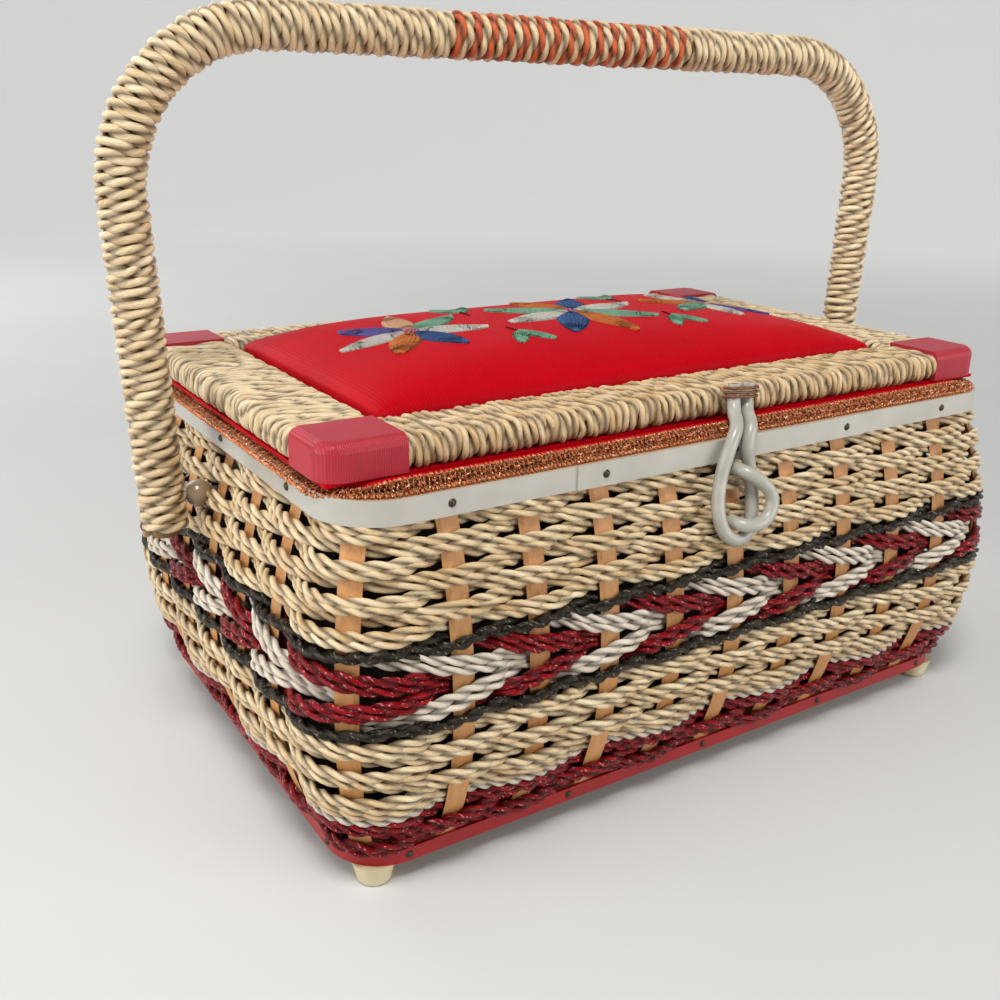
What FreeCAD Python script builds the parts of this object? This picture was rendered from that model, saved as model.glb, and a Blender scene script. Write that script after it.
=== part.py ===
"""Wicker sewing box: woven basket, hinged padded lid, bail handle and tube latch.

Millimetres. The origin is on the ground under the middle of the basket, +X runs along the
length, -Y faces the front and +Z is up.
"""
import FreeCAD
import Part
import os
from math import acos, cos, pi, sin, sqrt, tan
from FreeCAD import Vector

# Rim: outer size of the strip that binds the top of the wall
rim_length = 300.0
rim_depth = 194.0
rim_corner_radius = 22.0
rim_bottom = 126.4
rim_height = 8.0
band_thickness = 0.8
hoop_thickness = 2.4
patch_left_share = 0.2267
patch_right_share = 0.2233
patch_thickness = 0.7
tack_head_radius = 1.4
tack_head_height = 0.9
tack_shank_radius = 0.5
tack_shank_length = 2.0
braid_height = 1.8
braid_width = 6.0

# Wall: swells out between the base and the rim
belly_swell = 12.0
belly_height = 62.0
base_draw_in = 2.0
spans_long_side = 10
spans_short_side = 6
stake_width = 6.5
stake_thickness = 1.2
strand_depth = 3.4
row_gap = 0.2
row_clearance = 0.45
stake_clearance = 0.4
samples_per_stake = 4

# Heights of the woven zones, counted from the base up, and the rows in each
red_zone_height = 16.8
red_rows = 3
white_zone_height = 5.0
white_rows = 1
lower_zone_height = 26.2
lower_rows = 4
dark_zone_height = 5.2
dark_rows = 1
arrow_zone_height = 19.8
arrow_rows = 4
upper_rows = 7

# Base
foot_height = 8.0
foot_top_radius = 7.5
foot_bottom_radius = 5.5
foot_edge_round = 1.5
foot_inset_x = 13.0
foot_inset_y = 10.0
foot_nail_radius = 0.8
foot_nail_head_radius = 2.0
foot_nail_head_height = 1.2
foot_nail_depth = 3.0
foot_nail_recess = 1.0
base_thickness = 5.0
base_band_thickness = 1.2
base_nails_long_side = 5
base_nails_short_side = 3

# Lining
liner_thickness = 1.5
liner_gap = 3.2
liner_floor_thickness = 1.6
liner_corner_cut = 16.0
liner_top_gap = 0.6

# Lid
lid_length = rim_length
lid_depth = 183.0
lid_thickness = 10.6
lid_lift = 0.6
lining_thickness = 1.2
lining_inset = 1.5
bar_width_end = 31.0
bar_width_side = 28.0
wrap_diameter = 3.3
wrap_clearance = 0.15
wrap_loops = 24
wrap_break = 2.5
wrap_margin = 5.0
block_length = 28.0
block_depth = 24.0
block_bevel = 4.0
pad_board_thickness = 3.0
pad_edge_height = 7.5
pad_crown = 10.5
pad_fullness = 4
pad_samples = 12
pad_side_draw = 1.2
pad_gap = 0.4
seat_gap = 0.1

# Hinges on the back of the rim
hinge_spacing = 170.0
hinge_width = 28.0
hinge_leaf_height = 7.5
hinge_leaf_thickness = 1.0
hinge_knuckle_radius = 2.0
hinge_pin_radius = 0.9
hinge_clearance = 0.05
hinge_axis_back = 2.3
hinge_side_gap = 0.3
screw_head_radius = 1.5
screw_head_height = 0.7
screw_shank_radius = 0.7
screw_inset = 6.0

# Handle
pivot_drop = 17.4
pivot_back = 8.0
leg_reach = 20.0
leg_flare = 4.0
leg_end_below_pivot = 13.0
handle_rise = 155.3
handle_bend_radius = 52.0
handle_core_radius = 5.0
grip_length = 113.0
pin_radius = 1.6
pin_clearance = 0.05
pin_head_radius = 4.0
pin_head_height = 1.2
pin_end_cover = 1.6
plate_thickness = 1.6
plate_width = 16.0
plate_height = 22.0
bead_radius = 5.0
bead_end_radius = 2.6
bead_gap = 0.3

# Latch: a hanging tube loop on the lid and a tube ring on the wall. Its middle lines run
# through these points: the first number is the place along the front, the second is how far
# the point lies in front of the lid or the tube lies clear of the rim's strip or the wall,
# and the third is the drop below the lid's top, the rim's top or the rim's bottom
tube_diameter = 4.8
loop_left_on_lid = [(4.7, 3.4, -2.6), (3.6, 4.6, 6.4), (-1.6, 13.2, 9.4)]
loop_left_on_rim = (-6.6, 1.2, 1.6)
loop_on_wall = [
    (-10.2, 0.8, 3.4),
    (-13.6, 0.7, 12.9),
    (-12.4, 0.8, 21.8),
    (-6.0, 0.8, 26.2),
    (0.4, 0.6, 23.6),
    (2.8, 0.5, 15.9),
    (3.6, 0.6, 7.4),
    (3.4, 1.1, 0.4),
]
loop_right_on_rim = (1.6, 1.1, 2.0)
loop_right_on_lid = [(5.2, 13.0, 9.6), (9.6, 4.6, 6.8), (11.4, 3.4, -2.4)]
ring_on_wall = [
    (-3.0, -0.9, 1.6),
    (-2.4, 5.0, 1.8),
    (3.2, 7.6, 5.4),
    (7.2, 7.2, 11.4),
    (4.4, 6.6, 17.8),
    (-2.0, 5.6, 20.0),
    (-6.2, 3.4, 19.4),
    (-6.9, -0.9, 19.0),
]
tie_wire_diameter = 1.0
tie_turns = 3
tie_pitch = 1.5
tie_reach = 3.4
tie_clearance = 0.6

# Drawing of tubes: share of a run that a bend may take, edges in one turn of a winding,
# points on an edge where gaps are measured, and the least difference that counts
bend_share = 0.45
edges_per_turn = 8
gap_samples = 3
least_difference = 1e-9

gap_report = {}


# Plan of the basket: a rounded rectangle and its offsets
def ring_wire(outset, height):
    """Closed plan outline that lies outset outside the rim's outer line."""
    half_x = rim_length / 2 + outset
    half_y = rim_depth / 2 + outset
    radius = rim_corner_radius + outset
    side = radius * (1 - cos(pi / 4))
    edges = []
    corners = [(1, -1), (1, 1), (-1, 1), (-1, -1)]
    starts = [
        (half_x - radius, -half_y),
        (half_x, half_y - radius),
        (-half_x + radius, half_y),
        (-half_x, -half_y + radius),
    ]
    ends = [
        (half_x, -half_y + radius),
        (half_x - radius, half_y),
        (-half_x, half_y - radius),
        (-half_x + radius, -half_y),
    ]
    previous = ends[-1]
    for corner, start, end in zip(corners, starts, ends):
        middle = Vector(corner[0] * (half_x - side), corner[1] * (half_y - side), height)
        first = Vector(start[0], start[1], height)
        last = Vector(end[0], end[1], height)
        edges.append(Part.LineSegment(Vector(previous[0], previous[1], height), first).toShape())
        edges.append(Part.Arc(first, middle, last).toShape())
        previous = end
    return Part.Wire(edges)


def ring_plate(outset, bottom, height):
    """Solid plate with the plan outline at outset."""
    return Part.Face(ring_wire(outset, bottom)).extrude(Vector(0, 0, height))


def ring_band(outer, inner, bottom, height):
    """Upright band between two plan outlines."""
    return ring_plate(outer, bottom, height).cut(ring_plate(inner, bottom, height))


# Wall line: the middle of the stakes, and how far it swells at each height
stake_line = -(band_thickness + hoop_thickness + stake_clearance + stake_thickness / 2)
stake_half_x = rim_length / 2 + stake_line
stake_half_y = rim_depth / 2 + stake_line
stake_corner = rim_corner_radius + stake_line
straight_x = 2 * (stake_half_x - stake_corner)
straight_y = 2 * (stake_half_y - stake_corner)
corner_arc = stake_corner * pi / 2
perimeter = 2 * straight_x + 2 * straight_y + 4 * corner_arc
stake_count = 2 * (spans_long_side + spans_short_side)
wave_depth = (strand_depth + stake_thickness) / 2 + row_clearance
base_top = foot_height + base_thickness
rim_top = rim_bottom + rim_height
upper_radius = ((rim_bottom - belly_height) ** 2 + belly_swell ** 2) / (2 * belly_swell)
lower_drop = belly_swell + base_draw_in
lower_radius = ((belly_height - foot_height) ** 2 + lower_drop ** 2) / (2 * lower_drop)


def swell(height):
    """How far the wall stands outside its rim line at a height."""
    rise = height - belly_height
    radius = upper_radius if rise > 0 else lower_radius
    return belly_swell - (radius - sqrt(radius ** 2 - rise ** 2))


def wall_point(run):
    """Point and outward direction on the stake line, run millimetres from the front's middle."""
    run = run % perimeter
    stretches = [
        (straight_x / 2, 0.0),
        (corner_arc, None),
        (straight_y, pi / 2),
        (corner_arc, None),
        (straight_x, pi),
        (corner_arc, None),
        (straight_y, 3 * pi / 2),
        (corner_arc, None),
        (straight_x / 2, 0.0),
    ]
    place = Vector(0, -stake_half_y, 0)
    turn = 0.0
    for length, heading in stretches:
        step = min(run, length)
        if heading is None:
            centre = place + Vector(-sin(turn), cos(turn), 0) * stake_corner
            turn = turn + step / stake_corner
            place = centre + Vector(sin(turn), -cos(turn), 0) * stake_corner
        else:
            turn = heading
            place = place + Vector(cos(turn), sin(turn), 0) * step
        run = run - step
        if run <= 0:
            break
    return place, Vector(sin(turn), -cos(turn), 0)


def stake_run(number):
    """Run along the wall line at a stake's number; four stakes stand on the corners' middles."""
    long_side = straight_x + corner_arc
    short_side = straight_y + corner_arc
    sides = [
        (spans_long_side / 2, long_side / 2),
        (spans_short_side, short_side),
        (spans_long_side, long_side),
        (spans_short_side, short_side),
        (spans_long_side / 2, long_side / 2),
    ]
    run = 0.0
    for spans, length in sides:
        passed = min(number, spans)
        run = run + length * passed / spans
        number = number - passed
    return run


def woven_outline(height, phase, depth):
    """Closed wavy line of one face of a row that passes in front of and behind the stakes."""
    points = []
    for index in range(stake_count * samples_per_stake):
        place, out = wall_point(stake_run(index / samples_per_stake))
        wave = phase * wave_depth * cos(pi * index / samples_per_stake)
        point = place + out * (swell(height) + wave + depth)
        points.append(Vector(point.x, point.y, height))
    curve = Part.BSplineCurve()
    curve.interpolate(Points=points, PeriodicFlag=True)
    return Part.Wire([curve.toShape()])


def woven_row(bottom, top, phase):
    """One row of the weave, a closed wavy strip."""
    shells = []
    for depth in (strand_depth / 2, -strand_depth / 2):
        lines = [woven_outline(height, phase, depth) for height in (bottom, top)]
        shells.append(Part.makeLoft(lines, True, True))
    return shells[0].cut(shells[1])


def woven_zone(bottom, height, rows, first_row):
    """A stack of rows whose waves alternate."""
    pitch = height / rows
    solids = []
    for row in range(rows):
        low = bottom + row * pitch + row_gap / 2
        high = bottom + (row + 1) * pitch - row_gap / 2
        phase = 1 if (first_row + row) % 2 == 0 else -1
        solids.append(woven_row(low, high, phase))
    return solids


def stake(index):
    """One splint that follows the swelling wall from the base board to the rim."""
    place, out = wall_point(stake_run(index))
    along = Vector(-out.y, out.x, 0)
    heights = [base_top, (base_top + belly_height) / 2, belly_height,
               (belly_height + rim_bottom) / 2, rim_bottom]

    def side(depth):
        points = []
        for height in heights:
            point = place + out * (swell(height) + depth) - along * (stake_width / 2)
            points.append(Vector(point.x, point.y, height))
        top = place + out * depth - along * (stake_width / 2)
        points.append(Vector(top.x, top.y, rim_top))
        return points

    outer = side(stake_thickness / 2)
    inner = side(-stake_thickness / 2)
    edges = [
        Part.Arc(outer[0], outer[1], outer[2]).toShape(),
        Part.Arc(outer[2], outer[3], outer[4]).toShape(),
        Part.LineSegment(outer[4], outer[5]).toShape(),
        Part.LineSegment(outer[5], inner[5]).toShape(),
        Part.LineSegment(inner[5], inner[4]).toShape(),
        Part.Arc(inner[4], inner[3], inner[2]).toShape(),
        Part.Arc(inner[2], inner[1], inner[0]).toShape(),
        Part.LineSegment(inner[0], outer[0]).toShape(),
    ]
    return Part.Face(Part.Wire(edges)).extrude(along * stake_width)


# Tubes on lines and tangent arcs
def arc_from(start, direction, end):
    """Arc from a start point and direction to an end point, or a line where they are in line."""
    chord = end - start
    heading = Vector(chord).normalize()
    cosine = max(-1.0, min(1.0, heading.dot(direction)))
    if cosine > 1 - least_difference:
        return Part.LineSegment(start, end).toShape()
    half = acos(cosine) / 2
    middle = start + (heading + direction).normalize() * (chord.Length / 2 / cos(half))
    return Part.Arc(start, middle, end).toShape()


def biarc(start, start_direction, end, end_direction):
    """Two tangent arcs that join two points with given directions."""
    chord = end - start
    both = start_direction + end_direction
    spread = 2 * (1 - start_direction.dot(end_direction))
    pull = chord.dot(both)
    if spread < least_difference:
        reach = chord.dot(chord) / (4 * chord.dot(end_direction))
    else:
        reach = (sqrt(pull ** 2 + spread * chord.dot(chord)) - pull) / spread
    joint = (start + start_direction * reach + end - end_direction * reach) / 2
    first = arc_from(start, start_direction, joint)
    second = arc_from(end, end_direction * -1, joint).reversed()
    return [first, second]


def tube(edges, start, direction, radius):
    """Round tube along a chain of edges."""
    path = Part.Wire(Part.__sortEdges__(edges))
    ring = Part.Wire([Part.Circle(start, direction, radius).toShape()])
    return path.makePipeShell([ring], True, False)


def routed_tube(points, radius, name):
    """Tube of straight runs and tangent arcs as large as the runs allow."""
    edges = []
    radii = []
    last = points[0]
    for before, corner, after in zip(points, points[1:], points[2:]):
        arrive = (corner - before).normalize()
        leave = (after - corner).normalize()
        turn = acos(max(-1.0, min(1.0, arrive.dot(leave))))
        shorter = min((corner - before).Length, (after - corner).Length)
        trim = bend_share * shorter
        radii.append(trim / tan(turn / 2))
        start = corner - arrive * trim
        end = corner + leave * trim
        edges.append(Part.LineSegment(last, start).toShape())
        edges.append(arc_from(start, arrive, end))
        last = end
    edges.append(Part.LineSegment(last, points[-1]).toShape())
    length = sum(edge.Length for edge in edges)
    print(name, "length", round(length, 1), "least bend radius", round(min(radii), 1))
    return tube(edges, points[0], (points[1] - points[0]).normalize(), radius)


def least_gap(edges, diameter):
    """Least clear distance of a winding to itself, between points most of a turn apart."""
    points = []
    for edge in edges:
        low, high = edge.ParameterRange
        points += [edge.valueAt(low + (high - low) * part / gap_samples) for part in range(gap_samples)]
    turn = gap_samples * edges_per_turn
    nearest = 3 * turn // 4
    distances = []
    for index, point in enumerate(points):
        distances += [(point - other).Length for other in points[index + nearest:index + 2 * turn]]
    return min(distances) - diameter


def winding(places, directions, diameter, name):
    """Tube through winding points and directions, with a straight end one diameter long."""
    edges = []
    lead = places[0] - directions[0] * diameter
    tail = places[-1] + directions[-1] * diameter
    edges.append(Part.LineSegment(lead, places[0]).toShape())
    stations = list(zip(places, directions))
    for (place, direction), (following, next_direction) in zip(stations, stations[1:]):
        edges += biarc(place, direction, following, next_direction)
    edges.append(Part.LineSegment(places[-1], tail).toShape())
    gap_report[name] = least_gap(edges, diameter)
    return tube(edges, lead, directions[0], diameter / 2)


# Base
base_out = -base_draw_in
board = ring_plate(base_out - base_band_thickness, foot_height, base_thickness)
base_band = ring_band(base_out, base_out - base_band_thickness, foot_height, base_thickness)
foot_x = rim_length / 2 - foot_inset_x
foot_y = rim_depth / 2 - foot_inset_y
foot_solids = []
foot_nails = []
for sign_x in (-1, 1):
    for sign_y in (-1, 1):
        spot = Vector(sign_x * foot_x, sign_y * foot_y, 0)
        foot = Part.makeCone(foot_bottom_radius, foot_top_radius, foot_height, spot)
        rims = [edge for edge in foot.Edges if edge.BoundBox.ZMax < foot_height / 2]
        foot = foot.makeFillet(foot_edge_round, [rims[0]])
        head_top = foot_nail_recess + foot_nail_head_height
        head_hole = Part.makeCylinder(foot_nail_head_radius + pin_clearance, head_top, spot)
        shank_length = foot_height + foot_nail_depth
        shank = Part.makeCylinder(foot_nail_radius, shank_length - head_top, spot + Vector(0, 0, head_top))
        head = Part.makeCylinder(foot_nail_head_radius, foot_nail_head_height,
                                 spot + Vector(0, 0, foot_nail_recess))
        foot_solids.append(foot.cut(head_hole).cut(shank))
        foot_nails.append(head.fuse(shank).removeSplitter())
        board = board.cut(shank)

base_nails = []
nail_height = foot_height + base_thickness / 2
nail_half_x = rim_length / 2 - rim_corner_radius
nail_half_y = rim_depth / 2 - rim_corner_radius


def tack(place, out):
    """Domed tack driven in from outside: its head sits on the surface at place."""
    dome = (tack_head_radius ** 2 + tack_head_height ** 2) / (2 * tack_head_height)
    ball = Part.makeSphere(dome, place - out * (dome - tack_head_height))
    head = ball.common(Part.makeCylinder(tack_head_radius, tack_head_height, place, out))
    shank = Part.makeCylinder(tack_shank_radius, tack_shank_length, place, out * -1)
    return head.fuse(shank)


def tack_hole(place, out):
    """Hole that a tack's shank fills."""
    return Part.makeCylinder(tack_shank_radius, tack_shank_length, place, out * -1)


base_spots = []
for count, half, reach, along_x in (
    (base_nails_long_side, nail_half_x, rim_depth / 2 + base_out, True),
    (base_nails_short_side, nail_half_y, rim_length / 2 + base_out, False),
):
    for index in range(count):
        run = -half + 2 * half * index / (count - 1)
        for sign in (-1, 1):
            if along_x:
                base_spots.append((Vector(run, sign * reach, nail_height), Vector(0, sign, 0)))
            else:
                base_spots.append((Vector(sign * reach, run, nail_height), Vector(sign, 0, 0)))
for place, out in base_spots:
    base_nails.append(tack(place, out))
    base_band = base_band.cut(tack_hole(place, out))
    board = board.cut(tack_hole(place, out))

# Woven wall
zones = [
    ("weave_red", red_zone_height, red_rows),
    ("weave_white", white_zone_height, white_rows),
    ("weave_lower", lower_zone_height, lower_rows),
    ("weave_dark_lower", dark_zone_height, dark_rows),
    ("weave_arrow", arrow_zone_height, arrow_rows),
    ("weave_dark_upper", dark_zone_height, dark_rows),
]
level = base_top
row_number = 0
woven = {}
for name, height, rows in zones:
    woven[name] = woven_zone(level, height, rows, row_number)
    level = level + height
    row_number = row_number + rows
woven["weave_upper"] = woven_zone(level, rim_bottom - level, upper_rows, row_number)

stake_groups = {
    "stakes_front": [],
    "stakes_right": [],
    "stakes_back": [],
    "stakes_left": [],
    "stakes_corners": [],
}
first_corner = spans_long_side // 2
second_corner = first_corner + spans_short_side
corner_stakes = (first_corner, second_corner, stake_count - second_corner, stake_count - first_corner)
for index in range(stake_count):
    if index in corner_stakes:
        group = "stakes_corners"
    elif index < first_corner or index > stake_count - first_corner:
        group = "stakes_front"
    elif index < second_corner:
        group = "stakes_right"
    elif index < stake_count - second_corner:
        group = "stakes_back"
    else:
        group = "stakes_left"
    stake_groups[group].append(stake(index))

# Rim
hoop_outer_face = -band_thickness
hoop_inner_start = stake_line - stake_thickness / 2 - seat_gap
hoop_inner_end = hoop_inner_start - hoop_thickness
hoop_outer = ring_band(hoop_outer_face, hoop_outer_face - hoop_thickness, rim_bottom, rim_height)
hoop_inner = ring_band(hoop_inner_start, hoop_inner_end, rim_bottom, rim_height)
rim_band = ring_band(0.0, -band_thickness, rim_bottom, rim_height)
patch_left = patch_left_share * rim_length
patch_right = patch_right_share * rim_length
patch = Part.makeBox(patch_left + patch_right, patch_thickness, rim_height,
                     Vector(-patch_left, -rim_depth / 2 - patch_thickness, rim_bottom))
braid = ring_band(hoop_outer_face, hoop_outer_face - braid_width, rim_top, braid_height)
tacks = []
tack_height = rim_bottom + rim_height / 2
for index in range(0, stake_count, 2):
    place, out = wall_point(stake_run(index))
    on_patch = out.y < 0 and -patch_left < place.x < patch_right
    lift = patch_thickness if on_patch else 0.0
    seat = place + out * (lift - stake_line) + Vector(0, 0, tack_height)
    tacks.append(tack(seat, out))
    hole = tack_hole(seat, out)
    rim_band = rim_band.cut(hole)
    hoop_outer = hoop_outer.cut(hole)
    patch = patch.cut(hole)

# Lining panels inside the wall
liner_x = rim_length / 2 + hoop_inner_end - liner_gap
liner_y = rim_depth / 2 + hoop_inner_end - liner_gap
liner_bottom = base_top + seat_gap
liner_top = rim_top - liner_top_gap
liner_floor = ring_plate(hoop_inner_end - liner_gap, liner_bottom, liner_floor_thickness)
panel_bottom = liner_bottom + liner_floor_thickness
panel_height = liner_top - panel_bottom
panel_half_x = liner_x - liner_corner_cut
panel_half_y = liner_y - liner_corner_cut
liner_front = Part.makeBox(2 * panel_half_x, liner_thickness, panel_height,
                           Vector(-panel_half_x, -liner_y, panel_bottom))
liner_back = Part.makeBox(2 * panel_half_x, liner_thickness, panel_height,
                          Vector(-panel_half_x, liner_y - liner_thickness, panel_bottom))
liner_left = Part.makeBox(liner_thickness, 2 * panel_half_y, panel_height,
                          Vector(-liner_x, -panel_half_y, panel_bottom))
liner_right = Part.makeBox(liner_thickness, 2 * panel_half_y, panel_height,
                           Vector(liner_x - liner_thickness, -panel_half_y, panel_bottom))
liner_corners = []
inner_x = liner_x - liner_thickness
inner_y = liner_y - liner_thickness
for sign_x in (-1, 1):
    for sign_y in (-1, 1):
        corner = [
            (panel_half_x, liner_y),
            (panel_half_x, inner_y),
            (inner_x, panel_half_y),
            (liner_x, panel_half_y),
        ]
        outline = [Vector(sign_x * x, sign_y * y, panel_bottom) for x, y in corner]
        outline.append(outline[0])
        face = Part.Face(Part.makePolygon(outline))
        liner_corners.append(face.extrude(Vector(0, 0, panel_height)))

# Lid frame: flat bars between covered corner blocks, on a lining board
lid_back = rim_depth / 2 - seat_gap
lid_middle = lid_back - lid_depth / 2
lid_front = lid_back - lid_depth
lining_bottom = rim_top + braid_height + lid_lift
lid_bottom = lining_bottom + lining_thickness
lid_top = lid_bottom + lid_thickness
core_thickness = lid_thickness - 2 * (wrap_diameter + wrap_clearance)
core_bottom = lid_bottom + wrap_diameter + wrap_clearance
core_middle = core_bottom + core_thickness / 2
core_inset = wrap_diameter + wrap_clearance
lid_lining = Part.makeBox(lid_length - 2 * lining_inset, lid_depth - 2 * lining_inset, lining_thickness,
                          Vector(-lid_length / 2 + lining_inset, lid_front + lining_inset, lining_bottom))


def flat_bar(start, along, across, length, width):
    """Flat bar with rounded long edges, from the middle of its first end."""
    half = (width - core_thickness) / 2
    up = Vector(0, 0, core_thickness / 2)
    side = across * half
    tip = across * (width / 2)
    edges = [
        Part.LineSegment(start - side + up, start + side + up).toShape(),
        Part.Arc(start + side + up, start + tip, start + side - up).toShape(),
        Part.LineSegment(start + side - up, start - side - up).toShape(),
        Part.Arc(start - side - up, start - tip, start - side + up).toShape(),
    ]
    return Part.Face(Part.Wire(edges)).extrude(along * length)


def bar_winding(start, along, across, length, width, name):
    """Winding round a flat bar: a run over the top, a turn at the edge, a run back below."""
    up = Vector(0, 0, 1)
    rise = core_thickness / 2 + wrap_clearance + wrap_diameter / 2
    run_width = width - core_thickness
    half = run_width / 2
    pitch = (length - 2 * wrap_margin) / wrap_loops
    forward = (across * run_width + along * (pitch / 4)).normalize()
    backward = (across * -run_width + along * (pitch / 4)).normalize()
    corners = [
        (-half, rise, 0.0, forward),
        (half, rise, 0.25, forward),
        (half, -rise, 0.5, backward),
        (-half, -rise, 0.75, backward),
    ]
    places = []
    directions = []
    for loop in range(wrap_loops):
        for side, height, share, heading in corners:
            run = wrap_margin + (loop + share) * pitch
            places.append(start + along * run + across * side + up * height)
            directions.append(heading)
    return winding(places, directions, wrap_diameter, name)


long_run = lid_length - 2 * block_length
end_run = lid_depth - 2 * block_depth
long_core = bar_width_side - 2 * core_inset
end_core = bar_width_end - 2 * core_inset
x_way = Vector(1, 0, 0)
y_way = Vector(0, 1, 0)
front_start = Vector(-long_run / 2, lid_front + bar_width_side / 2, core_middle)
back_start = Vector(-long_run / 2, lid_back - bar_width_side / 2, core_middle)
left_start = Vector(-lid_length / 2 + bar_width_end / 2, lid_front + block_depth, core_middle)
right_start = Vector(lid_length / 2 - bar_width_end / 2, lid_front + block_depth, core_middle)
bar_front = flat_bar(front_start, x_way, y_way, long_run, long_core)
bar_back = flat_bar(back_start, x_way, y_way, long_run, long_core)
bar_left = flat_bar(left_start, y_way, x_way, end_run, end_core)
bar_right = flat_bar(right_start, y_way, x_way, end_run, end_core)
wrap_front = bar_winding(front_start, x_way, y_way, long_run, long_core, "lid_wrap_front")
wrap_back = bar_winding(back_start, x_way, y_way, long_run, long_core, "lid_wrap_back")
wrap_left = bar_winding(left_start, y_way, x_way, end_run, end_core, "lid_wrap_left")
wrap_right = bar_winding(right_start, y_way, x_way, end_run, end_core, "lid_wrap_right")

corner_blocks = []
for sign_y, edge_y in ((1, lid_front), (-1, lid_back)):
    for sign_x in (1, -1):
        edge_x = -sign_x * lid_length / 2
        outline = [
            (edge_x + sign_x * block_bevel, edge_y),
            (edge_x + sign_x * block_length, edge_y),
            (edge_x + sign_x * block_length, edge_y + sign_y * block_depth),
            (edge_x, edge_y + sign_y * block_depth),
            (edge_x, edge_y + sign_y * block_bevel),
        ]
        points = [Vector(x, y, lid_bottom) for x, y in outline]
        points.append(points[0])
        block = Part.Face(Part.makePolygon(points)).extrude(Vector(0, 0, lid_thickness))
        tops = [edge for edge in block.Edges if edge.BoundBox.ZMin > lid_top - seat_gap]
        corner_blocks.append(block.makeFillet(block_bevel / 2, tops))

# Inner board and its crowned pad
pad_half_x = lid_length / 2 - bar_width_end - pad_gap
pad_half_y = lid_depth / 2 - bar_width_side - pad_gap
pad_bottom = lid_bottom + pad_board_thickness
pad_board = Part.makeBox(2 * pad_half_x, 2 * pad_half_y, pad_board_thickness,
                         Vector(-pad_half_x, lid_middle - pad_half_y, lid_bottom))


def pad_section(share):
    """Cross-section of the pad at a share of its half length, -1 to 1."""
    x = share * pad_half_x
    half = pad_half_y - pad_side_draw * (1 - share ** 2)
    crown = pad_crown * (1 - share ** pad_fullness)
    edge = pad_bottom + pad_edge_height
    points = []
    for step in range(pad_samples + 1):
        across = 1 - 2 * step / pad_samples
        rise = crown * (1 - across ** pad_fullness)
        points.append(Vector(x, lid_middle + across * half, edge + rise))
    top = Part.BSplineCurve()
    top.interpolate(points)
    low_back = Vector(x, lid_middle + half, pad_bottom)
    low_front = Vector(x, lid_middle - half, pad_bottom)
    return Part.Wire([
        Part.LineSegment(low_front, low_back).toShape(),
        Part.LineSegment(low_back, points[0]).toShape(),
        top.toShape(),
        Part.LineSegment(points[-1], low_front).toShape(),
    ])


pad_shares = (-1.0, -0.9, -0.65, 0.0, 0.65, 0.9, 1.0)
lid_pad = Part.makeLoft([pad_section(share) for share in pad_shares], True, False)

# Hinges
hinge_y = rim_depth / 2 + hinge_axis_back
hinge_z = lining_bottom + hinge_side_gap
leaf_front = rim_depth / 2 + seat_gap
knuckle_length = (hinge_width - 2 * hinge_side_gap) / 3
leaf_bottom = rim_top - hinge_leaf_height + seat_gap
lid_leaf_bottom = hinge_z + hinge_knuckle_radius + hinge_side_gap
body_leaves = []
lid_leaves = []
hinge_pins = []
body_screws = []
lid_screws = []


def screw(place):
    """Domed screw that fills its hole in a leaf, with its head on the leaf's back face."""
    shank = Part.makeCylinder(screw_shank_radius, hinge_leaf_thickness, place, Vector(0, -1, 0))
    dome = (screw_head_radius ** 2 + screw_head_height ** 2) / (2 * screw_head_height)
    ball = Part.makeSphere(dome, place - Vector(0, dome - screw_head_height, 0))
    head = ball.common(Part.makeCylinder(screw_head_radius, screw_head_height, place, Vector(0, 1, 0)))
    return head.fuse(shank)


def knuckle(start_x, tab_bottom, tab_top):
    """One knuckle on the hinge axis with the tab that joins it to its leaf."""
    barrel = Part.makeCylinder(hinge_knuckle_radius, knuckle_length,
                               Vector(start_x, hinge_y, hinge_z), x_way)
    tab = Part.makeBox(knuckle_length, hinge_leaf_thickness, tab_top - tab_bottom,
                       Vector(start_x, leaf_front, tab_bottom))
    return barrel.fuse(tab)


def leaf(left, bottom, height):
    """Flat leaf of a hinge."""
    return Part.makeBox(hinge_width, hinge_leaf_thickness, height, Vector(left, leaf_front, bottom))


for sign in (-1, 1):
    left = sign * hinge_spacing / 2 - hinge_width / 2
    step = knuckle_length + hinge_side_gap
    bore = Part.makeCylinder(hinge_pin_radius + hinge_clearance, hinge_width,
                             Vector(left, hinge_y, hinge_z), x_way)
    body_leaf = leaf(left, leaf_bottom, rim_top - leaf_bottom)
    body_leaf = body_leaf.fuse(knuckle(left, leaf_bottom, hinge_z))
    body_leaf = body_leaf.fuse(knuckle(left + 2 * step, leaf_bottom, hinge_z)).removeSplitter()
    lid_leaf = leaf(left, lid_leaf_bottom, hinge_leaf_height)
    lid_leaf = lid_leaf.fuse(knuckle(left + step, hinge_z, lid_leaf_bottom + hinge_leaf_height))
    lid_leaf = lid_leaf.removeSplitter()
    for side in (screw_inset, hinge_width - screw_inset):
        back = leaf_front + hinge_leaf_thickness
        low = Vector(left + side, back, leaf_bottom + hinge_leaf_height / 3)
        high = Vector(left + side, back, lid_leaf_bottom + hinge_leaf_height / 2)
        body_screws.append(screw(low))
        lid_screws.append(screw(high))
        body_leaf = body_leaf.cut(Part.makeCylinder(screw_shank_radius, hinge_leaf_thickness, low,
                                                    Vector(0, -1, 0)))
        lid_leaf = lid_leaf.cut(Part.makeCylinder(screw_shank_radius, hinge_leaf_thickness, high,
                                                  Vector(0, -1, 0)))
    body_leaves.append(body_leaf.cut(bore))
    lid_leaves.append(lid_leaf.cut(bore))
    hinge_pins.append(Part.makeCylinder(hinge_pin_radius, hinge_width,
                                        Vector(left, hinge_y, hinge_z), x_way))

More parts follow.
